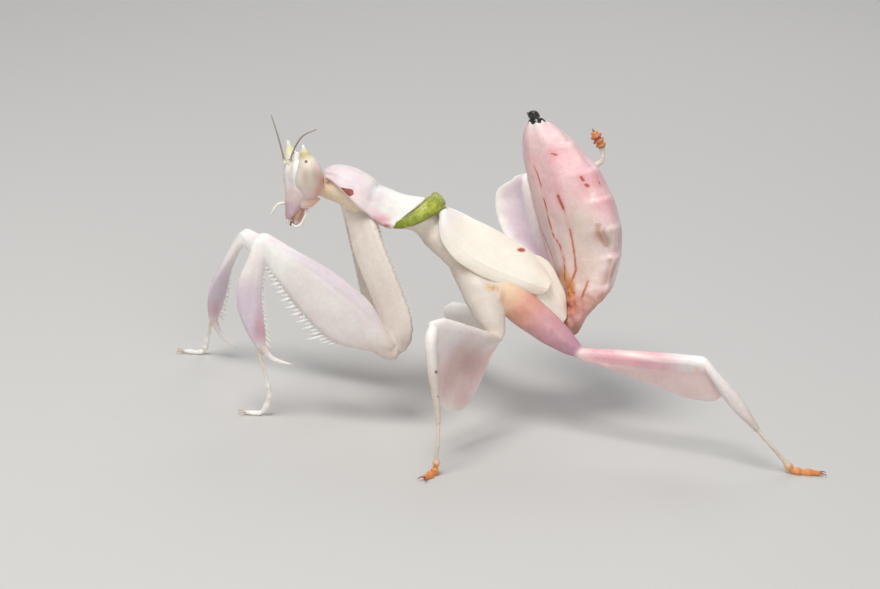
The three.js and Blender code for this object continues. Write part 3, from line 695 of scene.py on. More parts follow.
# Legs, in the standing frame; every leg gives its parts to the skin.
forelegs = {
    "left": {
        "coxa": ((-14.1, 2.0, 19.4), (-13.3, 0.9, 18.1), (-12.2, -1.3, 15.9), (-8.8, -4.1, 8.8),
                 (-8.95, -4.3, 7.35)),
        "femur": ((-9.5, -4.6, 7.7), (-21.2, -4.8, 16.6)),
        "heel": ((-9.1, -4.6, 7.0), (-10.0, -4.6, 7.3), (-11.4, -4.6, 8.1)),
        "tibia": ((-21.35, -4.9, 16.3), (-21.6, -5.0, 15.2), (-22.1, -5.2, 11.4), (-20.9, -5.0, 6.9)),
        "claw": ((-20.9, -5.0, 7.0), (-19.9, -4.9, 5.75), (-17.9, -4.8, 5.2)),
        "foot": ((-20.9, -5.0, 6.6), (-20.9, -5.0, 5.75), (-20.3, -4.7, 3.8), (-19.95, -4.5, 1.7),
                 (-20.6, -4.45, 0.24), (-21.9, -4.6, 0.2)),
        "femurLean": (-0.92, 0, -0.35), "tibiaLean": (0.7, 0, -0.7),
    },
    "right": {
        "coxa": ((-14.0, 1.6, 19.0), (-13.1, 2.7, 16.8), (-10.1, 4.6, 4.9)),
        "femur": ((-11.0, 3.3, 5.3), (-23.6, 5.6, 13.3)),
        "heel": ((-10.1, 4.3, 4.9), (-10.8, 3.8, 5.1), (-12.2, 3.6, 5.9)),
        "tibia": ((-23.9, 5.9, 13.1), (-24.5, 6.3, 12.0), (-25.9, 7.1, 8.2), (-26.5, 8.0, 4.1)),
        "claw": ((-26.5, 8.0, 4.2), (-25.8, 8.2, 2.6), (-24.2, 8.3, 1.2)),
        "foot": ((-26.6, 8.1, 4.0), (-26.8, 8.4, 3.1), (-27.0, 8.8, 1.9), (-27.5, 9.1, 0.26), (-29.2, 9.0, 0.2)),
        "femurLean": (-0.9, 0.1, -0.4), "tibiaLean": (0.75, 0.1, -0.6),
    },
    "flat": (0.45, 0.1, 1),
    "coxaWidths": ((0, 1.15), (0.15, 1.4), (0.4, 1.42), (0.65, 1.4), (0.85, 1.35), (0.94, 1.1), (1, 0.8)),
    "coxaThickness": ((0, 0.45), (0.25, 0.6), (0.5, 0.72), (1, 0.55)),
    "femurAbove": ((0, 0.55), (0.12, 1.15), (0.25, 1.85), (0.36, 1.98), (0.6, 1.85), (0.82, 1.25), (1, 0.86)),
    "femurBelow": ((0, 0.9), (0.12, 2.0), (0.25, 2.95), (0.36, 3.15), (0.6, 2.65), (0.82, 1.7), (1, 1.1)),
    "farShare": 0.66,  # the far blade is hidden behind the near one, so it is the narrower
    "tibiaWidths": ((0, 0.85), (0.12, 0.75), (0.35, 1.08), (0.65, 1.12), (0.9, 0.75), (1, 0.45)),
    "coxaTones": ((0, "cream"), (0.25, "oat")),
    "femurTones": ((0, "oat"), (0.2, "ash"), (0.65, "ash"), (0.9, "bright")),
    "femurWidths": ((0, 0.75), (0.4, 0.75), (1, 0.6)), 
    "heelWidths": spread(0.75, 0.75, 0.4), "heelHeights": spread(0.6, 0.65, 0.4),
    "tibiaThickness": spread(0.55, 0.5, 0.4),
    "hookWidths": spread(0.36, 0.2, 0.03), "hookHeights": spread(0.4, 0.23, 0.03),
    "hookTones": ((0, "haze"), (0.4, "pearl"), (0.85, "white"), (1, "sand")),
    "tibiaTones": ((0, "bright"), (0.25, "pearl"), (0.5, "lilac"), (0.85, "lilac"), (1, "pearl")),
    "tibiaDabs": (  # from the foot end of the tibia
        ((-0.25, -0.4, 1.9), (0.75, 1.2, 2.4), "heather", 1.0),
        # the blossom dab below darkens the lower end: partly the tibia's own pink, partly painted shade
        ((0.25, -0.4, 1.3), (0.6, 1.2, 1.9), "blossom", 0.7),
        ((-0.3, -0.4, 4.3), (0.5, 1.2, 1.9), "lavender", 0.6),
    ),
    "spineSpan": (0.9, 0.27), "combSpan": (0.2, 0.97),
    "spineSizes": (0.35, 0.5, 0.4, 0.65, 0.45, 0.75, 0.45, 0.8, 0.5, 0.85, 0.5, 0.85, 0.5, 0.9, 0.55, 0.9, 0.55,
                   0.95, 0.55, 0.85, 1.45, 0.8, 0.85, 0.7),
    "combSizes": (0.2, 0.24, 0.24, 0.28, 0.28, 0.3, 0.34, 0.34, 0.38, 0.4, 0.42, 0.46, 0.48, 0.5, 0.55, 0.6, 0.7,
                  0.8),
}


def coxaEdges(along, side, lift, place):  # a finely toothed ridge on each edge, and a shallow hollow between
    teeth = 0.09 * abs(math.sin(along * 62)) ** 3 * max(0, abs(lift) - 0.85) * 6
    return teeth + 0.1 * bump(abs(lift), 0.9, 0.12) - 0.12 * bump(lift, 0, 0.5) * bump(along, 0.5, 0.4)


def femurGrooves(along, side, lift, place):  # lengthwise grooves on the flat sides, and grains near the knee
    middle = bump(along, 0.45, 0.45)
    groove = -0.11 * bump(lift, -0.55, 0.06) - 0.07 * bump(lift, -0.3, 0.05) - 0.06 * bump(lift, 0.5, 0.07)
    grains = 0.09 * noise.noise(place * 3.2) * eased((along - 0.6) * 3)
    return groove * middle * abs(side) + grains + 0.06 * bump(lift, -0.8, 0.1) * middle


def tibiaGrooves(along, side, lift, place):
    return abs(side) * (0.025 * math.sin(lift * 16) * bump(along, 0.6, 0.4) - 0.07 * bump(lift, 0.1, 0.15))


def femurBelow(name):
    return widened(forelegs["femurBelow"], forelegs["farShare"] if name == "right" else 1)


def makeForeleg(name):
    leg = forelegs[name]
    flat = forelegs["flat"]
    coxa = limb(leg["coxa"], flat, forelegs["coxaThickness"], forelegs["coxaWidths"], 44)
    parts = [emboss(loft("coxa", coxa, 24, forelegs["coxaTones"]), coxaEdges)]
    femur = limb(leg["femur"], flat, forelegs["femurWidths"], forelegs["femurAbove"], 30, femurBelow(name),
                 domes=(0.5, 0.7))
    thigh = loft("femur", femur, 32, forelegs["femurTones"])
    sweepTone(thigh, "lilac", lambda along, side, lift: 0.8 * bump(lift, 0.75, 0.35) * bump(along, 0.6, 0.4))
    sweepTone(thigh, "bright", lambda along, side, lift: 0.5 * bump(lift, -0.2, 0.6) * bump(along, 0.6, 0.5))
    parts.append(emboss(thigh, femurGrooves))
    heel = limb(leg["heel"], (0, 1, 0), forelegs["heelWidths"], forelegs["heelHeights"], 12,
                domes=(0.5, 0.4))
    parts.append(loft("trochanter", heel, 20, "oat"))
    tibia = limb(leg["tibia"], flat, forelegs["tibiaThickness"], forelegs["tibiaWidths"], 26,
                 domes=(0.5, 0.3))
    parts.append(emboss(loft("tibia", tibia, 20, forelegs["tibiaTones"]), tibiaGrooves))
    end = Vector(leg["tibia"][-1])
    airbrush(parts[-1], [(end + Vector(place), *dab) for place, *dab in forelegs["tibiaDabs"]])
    return [moved(part, standing) for part in parts]


hindShins = ((0, 0.42), (0.25, 0.5), (0.5, 0.68), (0.65, 0.66), (0.85, 0.45), (1, 0.28))
walkers = {
    "mid_left": {
        "coxa": ((-3.3, 0.3, 15.0), (-2.3, -1.2, 13.2), (-0.9, -2.9, 10.8), (0.0, -3.6, 9.1)),
        "femur": ((-0.3, -4.0, 8.9), (-5.75, -11.5, 12.3)),
        "tibia": ((-5.8, -11.9, 12.1), (-5.9, -12.4, 11.6), (-4.7, -13.8, 4.8)),
        "foot": ((-4.7, -13.8, 4.7), (-4.6, -14.3, 2.2), (-4.7, -14.5, 0.24), (-5.4, -15.7, 0.2)),
        "hang": (0, 0, 1), "crown": ((0, 0.5), (0.4, 0.8), (0.85, 1.05), (1, 0.6)), "coxaWidth": 1.75,
        "depths": ((0, 0.8), (0.11, 3.2), (0.23, 5.2), (0.4, 6.9), (0.6, 7.4), (0.8, 6.85), (0.92, 5.2),
                   (1, 1.2)),
        "lift": (1, 0, 0.1), "shins": ((0, 0.55), (0.3, 0.52), (0.6, 0.42), (0.85, 0.3), (1, 0.22)),
        "coxaTones": ((0, "cream"), (0.35, "oat"), (0.8, "oat"), (1, "cream")),
        "femurTones": ((0, "oat"), (0.4, "pearl"), (1, "white")),
        "petalTones": ((0, "pearl"), (0.5, "haze"), (0.86, "haze"), (0.98, "white")),
        "dabs": (((-2.8, -8.1, 8.6), 3.2, "dust", 0.8), ((-1.5, -6.2, 7.2), 3.0, "dust", 0.7),
                 ((-3.7, -9.4, 6.5), 3.0, "dust", 0.5), ((-3.6, -9.5, 10.3), 1.8, "lilac", 0.5),
                 ((-2.2, -7.6, 4.3), 2.2, "dusk", 0.5), ((-2.2, -7.1, 7.6), 1.8, "mauve", 0.6)),
        "tibiaTones": ((0, "white"), (0.3, "ash"), (0.6, "linen"), (1, "linen")),
    },
    "mid_right": {
        "coxa": ((-3.4, 1.6, 14.4), (-2.4, 2.4, 12.2), (0.0, 3.2, 8.3)),
        "femur": ((-0.2, 3.7, 8.0), (-4.5, 12.0, 5.2)),
        "tibia": ((-4.4, 12.4, 5.1), (-4.3, 12.9, 5.0), (-3.2, 18.0, 2.2)),
        "foot": ((-3.2, 18.1, 2.2), (-3.0, 19.4, 0.9), (-2.8, 20.2, 0.26), (-2.4, 21.8, 0.2)),
        "hang": (-0.2, 0.15, 1), "crown": ((0, 0.5), (0.4, 0.8), (0.85, 1.0), (1, 0.6)), "coxaWidth": 1.75,
        "depths": ((0, 0.7), (0.12, 1.8), (0.4, 3.7), (0.7, 4.4), (0.9, 3.4), (1, 1.0)),
        "lift": (1, 0, 0), "shins": ((0, 0.55), (0.3, 0.56), (0.7, 0.42), (1, 0.24)),
        "coxaTones": ((0, "cream"), (0.35, "oat"), (1, "oat")),
        "femurTones": ((0, "cream"), (0.4, "white"), (1, "bright")),
        "petalTones": ((0, "white"), (0.5, "shell"), (0.9, "bright")),
        "tibiaTones": ((0, "white"), (0.35, "pearl"), (0.7, "linen"), (1, "linen")),
    },
    "hind_left": {
        "coxa": ((-0.9, -1.0, 13.6), (1.4, -2.1, 11.8), (7.0, -3.5, 8.25)),
        "femur": ((7.7, -3.85, 8.0), (18.1, -6.8, 9.35)),
        "tibia": ((18.3, -6.9, 9.2), (18.7, -7.0, 8.75), (23.2, -8.0, 4.0)),
        "foot": ((23.2, -8.0, 4.0), (25.9, -8.2, 1.3), (27.0, -8.2, 0.28), (29.2, -8.2, 0.2)),
        "hang": (-0.6, -0.15, 0.87), "crown": ((0, 0.68), (0.5, 0.65), (1, 0.55)), "coxaWidth": 1.7,
        "depths": ((0, 0.9), (0.1, 1.05), (0.2, 1.75), (0.34, 2.7), (0.52, 3.7), (0.68, 4.5), (0.86, 4.75),
                   (1, 3.95)),
        "lift": (0, 1, 0), "shins": hindShins,
        "coxaTones": ((0, "cream"), (0.22, "peach"), (0.4, "salmon"), (0.65, "blossom"), (1, "plum")),
        "femurTones": ((0, "haze"), (0.05, "blush"), (0.15, "rose"), (0.6, "rose"), (0.88, "pearl"),
                       (1, "bright")),
        "petalTones": ((0.1, "blush"), (0.4, "haze"), (0.85, "shell")),
        "tibiaTones": ((0, "white"), (0.12, "pearl"), (0.6, "ash"), (1, "linen")),
        "dabs": (((17.6, -7.4, 8.7), (0.5, 1.2, 0.35), "amber", 0.9),
                 # painted highlight: a thin white streak along the top of the rod
                 ((12.5, -5.6, 9.0), (5.0, 1.5, 0.35), "white", 0.7)),
    },
    "hind_right": {
        "coxa": ((0.2, 1.0, 12.6), (1.8, 2.1, 11.3), (5.6, 4.4, 9.3)),
        "femur": ((5.8, 5.1, 9.5), (1.7, 9.3, 19.7)),
        "tibia": ((1.7, 9.4, 19.9), (2.2, 9.6, 20.2), (8.0, 10.6, 21.2)),
        "foot": ((8.0, 10.6, 21.2), (8.55, 10.7, 21.7), (8.45, 10.9, 22.9), (7.6, 10.9, 24.3)),
        "hang": (1, -0.35, 0.08), "crown": ((0, 0.55), (1, 0.55)), "coxaWidth": 1.6,
        "depths": ((0, 0.7), (0.32, 0.8), (0.4, 2.4), (0.48, 3.6), (0.64, 4.0), (0.78, 3.8), (0.9, 3.1),
                   (1, 1.2)),
        "lift": (0, 1, 0), "shins": hindShins,
        "coxaTones": ((0, "peach"), (0.3, "salmon"), (0.6, "blossom"), (1, "plum")),
        "femurTones": ((0, "plum"), (0.3, "lilac"), (0.75, "pearl"), (1, "bright")),
        "petalTones": ((0.1, "lilac"), (0.45, "lilac"), (0.85, "bright")),
        "tibiaTones": ((0, "bright"), (0.6, "white"), (1, "white")),
        "dabs": (((4.5, 7.4, 14.0), (3.0, 3.0, 3.6), "heather", 0.6),
                 ((1.6, 8.6, 15.5), (1.6, 3, 2.6), "lavender", 0.5)),
    },
    "rods": ((0, 0.58), (0.3, 0.62), (0.8, 0.6), (1, 0.5)),
    "coxaTaper": ((0, 1), (0.5, 0.95), (0.8, 0.75), (1, 0.46)),
    "petalThickness": 0.36, "least": 0.6, "shinDepth": 0.52, "knee": 0.62,
}


def petalRelief(leg):
    # Soft veins that fan out, a rim a little raised, and a shallow dish; both sides move the same way.
    down = -Vector(leg["hang"]).normalized()
    run = Vector(leg["femur"][1]) - Vector(leg["femur"][0])
    cross = down.cross(run).normalized()

    def shift(piece):
        values = zip(piece.data.vertices, measured(piece, "along"), measured(piece, "lift"))
        for vertex, along, lift in values:
            drop = max(-lift, 0)
            dish = 0.3 * math.sin(math.pi * drop) + 0.07 * drop * math.sin(along * 9 + 1) * drop
            vertex.co += cross * dish * eased(along * 5) * eased((1 - along) * 5)
        return piece

    def relief(along, side, lift, place):
        drop = max(-lift, 0)
        veins = 0.014 * math.sin(along * 34 + drop * 3) * math.sin(math.pi * drop)
        return veins + 0.05 * noise.noise(place * 1.1) + 0.05 * bump(drop, 0.93, 0.06)

    return shift, relief


def makeWalker(name):
    leg = walkers[name]
    widths = widened(walkers["coxaTaper"], leg["coxaWidth"])
    coxa = limb(leg["coxa"], (0, 1, 0.2), widths, widened(widths, 0.85), 20, domes=(0.5, 0.4))
    parts = [emboss(loft("coxa", coxa, 24, leg["coxaTones"]), folds)]
    depths = [[share, max(deep, walkers["least"])] for share, deep in leg["depths"]]
    femur = limb(leg["femur"], leg["hang"], walkers["rods"], leg["crown"], 40, depths, hanging=True,
                 domes=(0.4, 0.5))
    petal = loft("femur", femur, 40, leg["femurTones"], section=hungSection(walkers["petalThickness"] / 2))
    shift, relief = petalRelief(leg)
    hem = leg["petalTones"]
    for (start, tone), (stop, _) in zip(hem, (*hem[1:], (1.3, ""))):
        middle, reach = (start + stop) / 2, (stop - start) * 0.75
        sweepTone(petal, tone, lambda along, side, lift: bump(-lift, middle, reach) * eased((-lift - 0.12) * 8))
    airbrush(petal, leg.get("dabs", ()))
    parts.append(emboss(shift(petal), relief))
    start, end = Vector(leg["coxa"][-1]), Vector(leg["femur"][0])
    joint = limb((start, start.lerp(end, 0.5), end), leg["lift"], walkers["knee"], walkers["knee"], 8,
                 domes=(0.5, 0.5))
    parts.append(loft("trochanter", joint, 14, spread(leg["coxaTones"][-1][1], leg["femurTones"][0][1])))
    flatter = [[share, min(value, walkers["shinDepth"])] for share, value in leg["shins"]]
    tibia = limb(leg["tibia"], (0, 1, 0.3), leg["shins"], flatter, 20, domes=(0.5, 0.3))
    parts.append(loft("tibia", tibia, 16, leg["tibiaTones"]))
    return [moved(part, standing) for part in parts]


walkerNames = ("mid_left", "mid_right", "hind_left", "hind_right")
skinParts = makeTrunk()
for side in ("left", "right"):
    skinParts += makeForeleg(side)
for walker in walkerNames:
    skinParts += makeWalker(walker)
print("lengths of the body made:", len(skinParts))

# Spines and hooks are hard, and stay pieces of their own on the skin.
thorns = {
    "width": 0.16, "root": 0.22, "tones": spread("pearl", "bright", "cream"), "bend": (-0.06, 0, -0.06),
    "sunk": (0, -0.06, 0), "farShare": 0.6,
    "twinStep": (0, 0.28, 0), "twinLean": (0, 0.4, 0), "twinShare": 0.8,  # every second spine has a twin
    "coxaShares": [0.3 + 0.05 * i for i in range(13)], "coxaLength": 0.2, "coxaWidth": 0.09,
}


def edgeOf(points, up, reach, shares, way):  # places on the upper or lower edge of a flat length
    found = []
    for share, (place, forward) in zip(shares, route(points, sorted(shares))):
        side = Vector(up).cross(forward).normalized()
        found.append(place + forward.cross(side).normalized() * way * keyed(reach, share))
    return found


def thorn(root, lean, length, bend=(0, 0, 0), width=thorns["width"], tones=thorns["tones"]):
    root, lean = Vector(root), Vector(lean).normalized()
    middle = root + lean * length * 0.5 + Vector(bend) * length
    points = (root - lean * thorns["root"], middle, root + lean * length)
    up = (0, 1, 0) if abs(lean.y) < 0.8 else (1, 0, 0)
    taper = ((0, width), (0.4, width * 0.8), (1, 0.03))
    return loft("thorn", limb(points, up, taper, taper, 6, domes=(0.02, 0.03))[2:-2], 8, tones, smooth=0)


def makeThorns(name):
    leg = forelegs[name]
    flat = forelegs["flat"]
    bend, sunk, step, turn = [Vector(thorns[key]) for key in ("bend", "sunk", "twinStep", "twinLean")]
    made = []
    for points, widths, span, lean, sizes, way in (
            (leg["femur"], femurBelow(name), "spineSpan", "femurLean", "spineSizes", -1),
            (leg["tibia"], widened(forelegs["tibiaWidths"], 0.95), "combSpan", "tibiaLean", "combSizes", 1)):
        start, stop = forelegs[span]
        sizes = [size * (thorns["farShare"] if name == "right" and way < 0 else 1) for size in forelegs[sizes]]
        shares = [start + (stop - start) * s for s in evenly(len(sizes))]
        if start > stop:
            shares, sizes = shares[::-1], sizes[::-1]
        roots = edgeOf(points, flat, widths, shares, way)
        lean = Vector(leg[lean])
        for i, (root, size) in enumerate(zip(roots, sizes)):
            made.append(thorn(root + sunk, lean, size, bend))
            if i % 2:
                made.append(thorn(root + step, lean + turn, size * thorns["twinShare"], bend))
    for way in (-1, 1):
        for root in edgeOf(leg["coxa"], flat, forelegs["coxaWidths"], thorns["coxaShares"], way):
            made.append(thorn(root, (way, 0, 0.3 * way - 0.2), thorns["coxaLength"], width=thorns["coxaWidth"]))
    hook = limb(leg["claw"], flat, forelegs["hookWidths"], forelegs["hookHeights"], 12,
                domes=(0.2, 0.05))
    made.append(loft("hook", hook, 12, forelegs["hookTones"]))
    return moved(together("thorns", made), standing)


feet = {
    "beads": ((0, 0.32), (0.05, 0.22), (0.42, 0.19), (0.48, 0.3), (0.53, 0.22), (0.6, 0.32), (0.66, 0.23),
              (0.73, 0.33), (0.79, 0.23), (0.9, 0.3), (1, 0.2)),
    "stoutBeads": ((0, 0.3), (0.05, 0.22), (0.45, 0.19), (0.56, 0.24), (0.62, 0.42), (0.68, 0.25), (0.75, 0.47),
                   (0.81, 0.26), (0.88, 0.45), (0.94, 0.28), (1, 0.26)),
    "claw": 0.75, "clawWidth": 0.1, "clawSpread": 0.45, "clawGap": 0.08, "clawBend": (0, 0, 0.16),
    "pad": 0.3, "padWidth": 0.13, "padRise": 0.4, "raisedClaw": 0.35, "raisedBeads": 1.3,
    "duskTones": ((0, "oat"), (0.5, "oat"), (0.58, "brown"), (0.66, "orange"), (0.85, "rust"), (1, "orange")),
    "orangeTones": ((0, "linen"), (0.1, "oat"), (0.5, "linen"), (0.58, "sand"), (0.64, "amber"), (0.75, "orange"),
                    (1, "orange")),
    "whiteTones": ((0, "beige"), (0.2, "cream"), (0.5, "white"), (1, "white")),
    "clawTones": ((0, "orange"), (0.6, "rust"), (1, "darkBrown")),
    "paleClawTones": ((0, "cream"), (0.6, "sand"), (1, "brown")),
}


def toeRelief(along, side, lift, place):
    return 0.03 * noise.noise(place * 5)


def makeFoot(path, lift, beads, tones, clawTones, claw=feet["claw"]):
    rings = limb(path, lift, beads, widened(beads, 0.85), 44, domes=(0.15, 0.12))
    made = [emboss(loft("toes", rings, 14, tones), toeRelief)]
    end, forward = route(path, [1])[0]
    across = Vector((0, 0, 1)).cross(forward).normalized()
    for way in (-1, 1):
        lean = forward + across * way * feet["clawSpread"]
        root = end + across * way * feet["clawGap"]
        made.append(thorn(root, lean, claw, feet["clawBend"], feet["clawWidth"], clawTones))
    rise = Vector((0, 0, feet["padRise"]))
    made.append(thorn(end, forward + rise, feet["pad"], width=feet["padWidth"], tones=clawTones))
    foot = moved(together("foot", made), standing)
    for vertex in foot.data.vertices:
        vertex.co.z = max(vertex.co.z, 0)  # the sole rests flat on the floor
    return foot


# The shield: a domed plate with a turned-out margin; margin point, top point and half width.
shield = {
    "stations": (
        ((-16.25, 21.1), (-16.55, 21.45), 1.0), ((-15.5, 20.75), (-15.85, 21.82), 1.8),
        ((-14.85, 20.2), (-15.0, 21.95), 2.4), ((-14.1, 19.55), (-13.9, 21.78), 2.75),
        ((-13.3, 18.85), (-12.9, 21.38), 2.9), ((-12.35, 18.15), (-12.0, 20.85), 2.75),
        ((-11.55, 17.65), (-10.9, 20.22), 2.5), ((-10.85, 17.25), (-9.3, 19.75), 2.35),
        ((-10.2, 17.05), (-7.35, 19.6), 2.3),
    ),
    "thickness": 0.32, "round": 0.8,
    "spotTip": (-14.98, 20.3), "spotAxis": (1.22, -0.5), "spotLength": 1.36,
    "spotWidths": ((0, 0.0), (0.3, 0.11), (0.65, 0.27), (0.88, 0.26), (1, 0.0)),
    "tones": ((0, "veil"), (0.4, "veil"), (0.68, "pearl"), (1, "white")),
    "dabs": (  # on both sides
        ((-14.5, 2.6, 21.0), (2.2, 1.6, 1.3), "lilac", 0.5), ((-12.5, 2.6, 19.6), (2.5, 1.2, 1.4), "blush", 0.45),
        ((-12.0, 2.7, 18.3), (1.5, 1.4, 0.8), "blush", 0.7),
        ((-11.1, 2.5, 17.75), (1.3, 1.4, 0.75), "pink", 0.95),
        ((-10.6, 2.3, 17.2), (0.75, 1.2, 0.32), "crimson", 1.2),
    ),
}


shieldKeys = stationKeys(shield["stations"])


def shieldSurface(u, w):
    marginX, marginZ, topX, topZ, wide = [keyed(keys, u) for keys in shieldKeys]
    angle = (w - 0.5) * math.pi
    rise = max(math.cos(angle), 0) ** shield["round"]
    place = Vector((marginX, 0, marginZ)).lerp(Vector((topX, 0, topZ)), rise)
    return place + Vector((0, wide * math.sin(angle), 0))


def shieldRelief(along, side, lift, place):
    edge = min(side, 1 - side)
    rim = 0.14 * bump(edge, 0.0, 0.05) - 0.07 * bump(edge, 0.12, 0.05)
    furrow = -0.17 * bump(along, 0.665 - 0.12 * abs(side - 0.5), 0.045) * bump(side, 0.5, 0.45)
    keel = 0.05 * bump(side, 0.5, 0.02)
    return rim + furrow + keel + 0.05 * noise.noise(place * 0.8)


def spotDistance(place):
    tip, axis = Vector((*shield["spotTip"], 0)), Vector((*shield["spotAxis"], 0)).normalized()
    away = Vector((place.x, place.z, 0)) - tip
    along = away.dot(axis) / shield["spotLength"]
    across = abs(away.x * axis.y - away.y * axis.x)
    outside = max(-along, along - 1, 0) * shield["spotLength"]
    return across - keyed(shield["spotWidths"], min(max(along, 0), 1)) + outside


def makeShield():
    dome = emboss(plate("shield", 72, 56, shieldSurface, shield["thickness"], shield["tones"]), shieldRelief)
    measure(dome, "spot", [spotDistance(v.co) for v in dome.data.vertices])
    airbrush(dome, sided(shield["dabs"], -1, 1))
    return moved(dome, trunkFrame)


def shieldMarks(sheet, colour, height):
    spot = sheet.share("spot")
    speckle = sheet.noise(0.25, 3)
    inner = sheet.mix(speckle.eased(0.35, 0.65), "wine", "rust")
    inner = sheet.mix(spot.eased(-0.09, -0.02), inner, "darkBrown")
    mask = 1 - spot.eased(-0.02, 0.03)
    blush = (1 - spot.eased(0.0, 0.5)) * 0.35
    colour = sheet.mix(blush, colour, "rose")
    return sheet.mix(mask, colour, inner), height + mask * speckle * 2


# The green collar, along an arc from the left lower end over the back to the right.
collar = {
    "flank": ((-10.55, 2.0, 17.15), (-9.65, 2.35, 17.3), (-8.45, 2.5, 17.85), (-7.1, 2.4, 18.85),
              (-6.3, 1.5, 19.5)),
    "crown": (-6.2, 0, 19.7),
    "widths": ((0, 0.14), (0.07, 0.32), (0.2, 0.6), (0.35, 0.76), (0.5, 0.78), (0.65, 0.76), (0.8, 0.6),
               (0.93, 0.32), (1, 0.14)),
    "core": (-8.6, 0, 17.2), "height": 0.42, "netSize": 0.625,
    "tones": ((0, "moss"), (0.12, "green"), (0.3, "lime"), (0.5, "lime"), (0.7, "lime"), (0.88, "green"),
              (1, "moss")),
}


def makeCollar():
    rings = []
    shares, high = evenly(60), collar["height"]
    arc = [*mirrored(collar["flank"], -1), collar["crown"], *collar["flank"][::-1]]
    for t, (place, forward) in zip(shares, route(arc, shares)):
        outward = place - Vector(collar["core"])
        side = outward.cross(forward).normalized()
        lift = forward.cross(side).normalized()
        wide = keyed(collar["widths"], t)
        rings.append((t, place, side, lift, wide, high * min(1, wide * 2.2), high, forward))
    band = loft("collar", domed(rings, (0.15, 0.15)), 24, collar["tones"])
    emboss(band, lambda along, side, lift, place: (0.05 * noise.noise(place * 1.6)
                                                   + 0.04 * bump(abs(side), 0.75, 0.12)))
    sweepTone(band, "green", lambda along, side, lift: 0.6 * eased(-side) + 0.25 * eased(-lift))
    return moved(band, trunkFrame)


def collarMarks(sheet, colour, height):
    net = 1 - sheet.cells(collar["netSize"], "DISTANCE_TO_EDGE").eased(0.01, 0.09)
    patch = sheet.noise(0.9, 3).eased(0.45, 0.62)
    colour = sheet.mix(patch * 0.45, colour, "moss")
    return sheet.mix(net * 0.3, colour, "moss"), height - net * 0.8


# Wing pads: leaves between an upper and a lower edge, with a rounded tip and faint veins.
pads = {
    "fore": {
        "upper": ((-5.6, 0.3, 18.95), (-4.2, 0.35, 18.5), (-2.0, 0.35, 17.7), (0.1, 0.4, 16.8), (1.8, 0.5, 15.9),
                  (3.3, 0.85, 14.7), (4.5, 1.5, 13.2)),
        "lower": ((-6.0, 2.3, 17.7), (-5.6, 2.75, 16.3), (-4.3, 2.95, 14.7), (-2.4, 3.0, 13.6), (0.0, 2.95, 12.8),
                  (2.1, 2.75, 12.3), (4.1, 2.2, 11.9)),
        "bulge": 0.75, "tones": ((0, "pearl"), (0.25, "ivory"), (0.7, "ivory"), (1, "cream")),
    },
    "hind": {
        "upper": ((2.6, 0.4, 15.4), (4.1, 0.4, 14.7), (5.1, 0.5, 13.3), (5.75, 0.6, 11.8), (6.0, 0.8, 10.1)),
        "lower": ((1.2, 2.2, 13.2), (2.4, 2.3, 11.75), (3.4, 2.25, 10.7), (4.5, 1.9, 9.85), (5.65, 1.2, 9.25)),
        "bulge": 0.35, "tones": ((0, "cream"), (0.5, "ivory"), (1, "ivory")),
    },
    "thickness": 0.4, "tipRound": 0.11, "baseRound": 0.12, "columns": 48, "rows": 30,
    "spot": (((1.51, 1.12, 15.87), (0.55, 1.2, 0.24), "crimson", 2.5),),
}


def padSurface(pad, side, columns):
    edges = [route(mirrored(pad[name], side), evenly(columns + 1)) for name in ("upper", "lower")]
    out = Vector((0, side * pad["bulge"], pad["bulge"] * 0.45))

    def pointAt(u, w):
        high, low = [edge[round(u * columns)][0] for edge in edges]
        tip, base = pads["tipRound"], pads["baseRound"]
        squeeze = math.sqrt(max(1 - (max(u - 1 + tip, 0) / tip) ** 2, 0.02))
        squeeze *= math.sqrt(max(1 - (max(base - u, 0) / base) ** 2 * 0.7, 0.02))
        across = 0.5 + (w - 0.5) * squeeze
        swell = 1 - (2 * across - 1) ** 2
        return high.lerp(low, across) + out * swell

    return pointAt


def padRelief(along, side, lift, place):
    veins = sum(bump(side, centre + 0.08 * math.sin(along * 3), 0.025) for centre in (0.2, 0.38, 0.54, 0.7))
    shoulder = 0.28 * bump(along, 0.05, 0.14) * bump(side, 0.55, 0.4)
    return 0.05 * veins * bump(along, 0.5, 0.4) + shoulder + 0.06 * noise.noise(place * 0.7)


def makePad(name, side):
    columns = pads["columns"]
    leaf = plate("pad", columns, pads["rows"], padSurface(pads[name], side, columns), pads["thickness"],
                 pads[name]["tones"])
    emboss(leaf, padRelief)
    sweepTone(leaf, "sand", lambda along, side, lift: 0.3 * eased((side - 0.75) * 4) * eased(along * 2))
    if name == "fore":
        airbrush(leaf, sided(pads["spot"], side))
    return moved(leaf, trunkFrame)


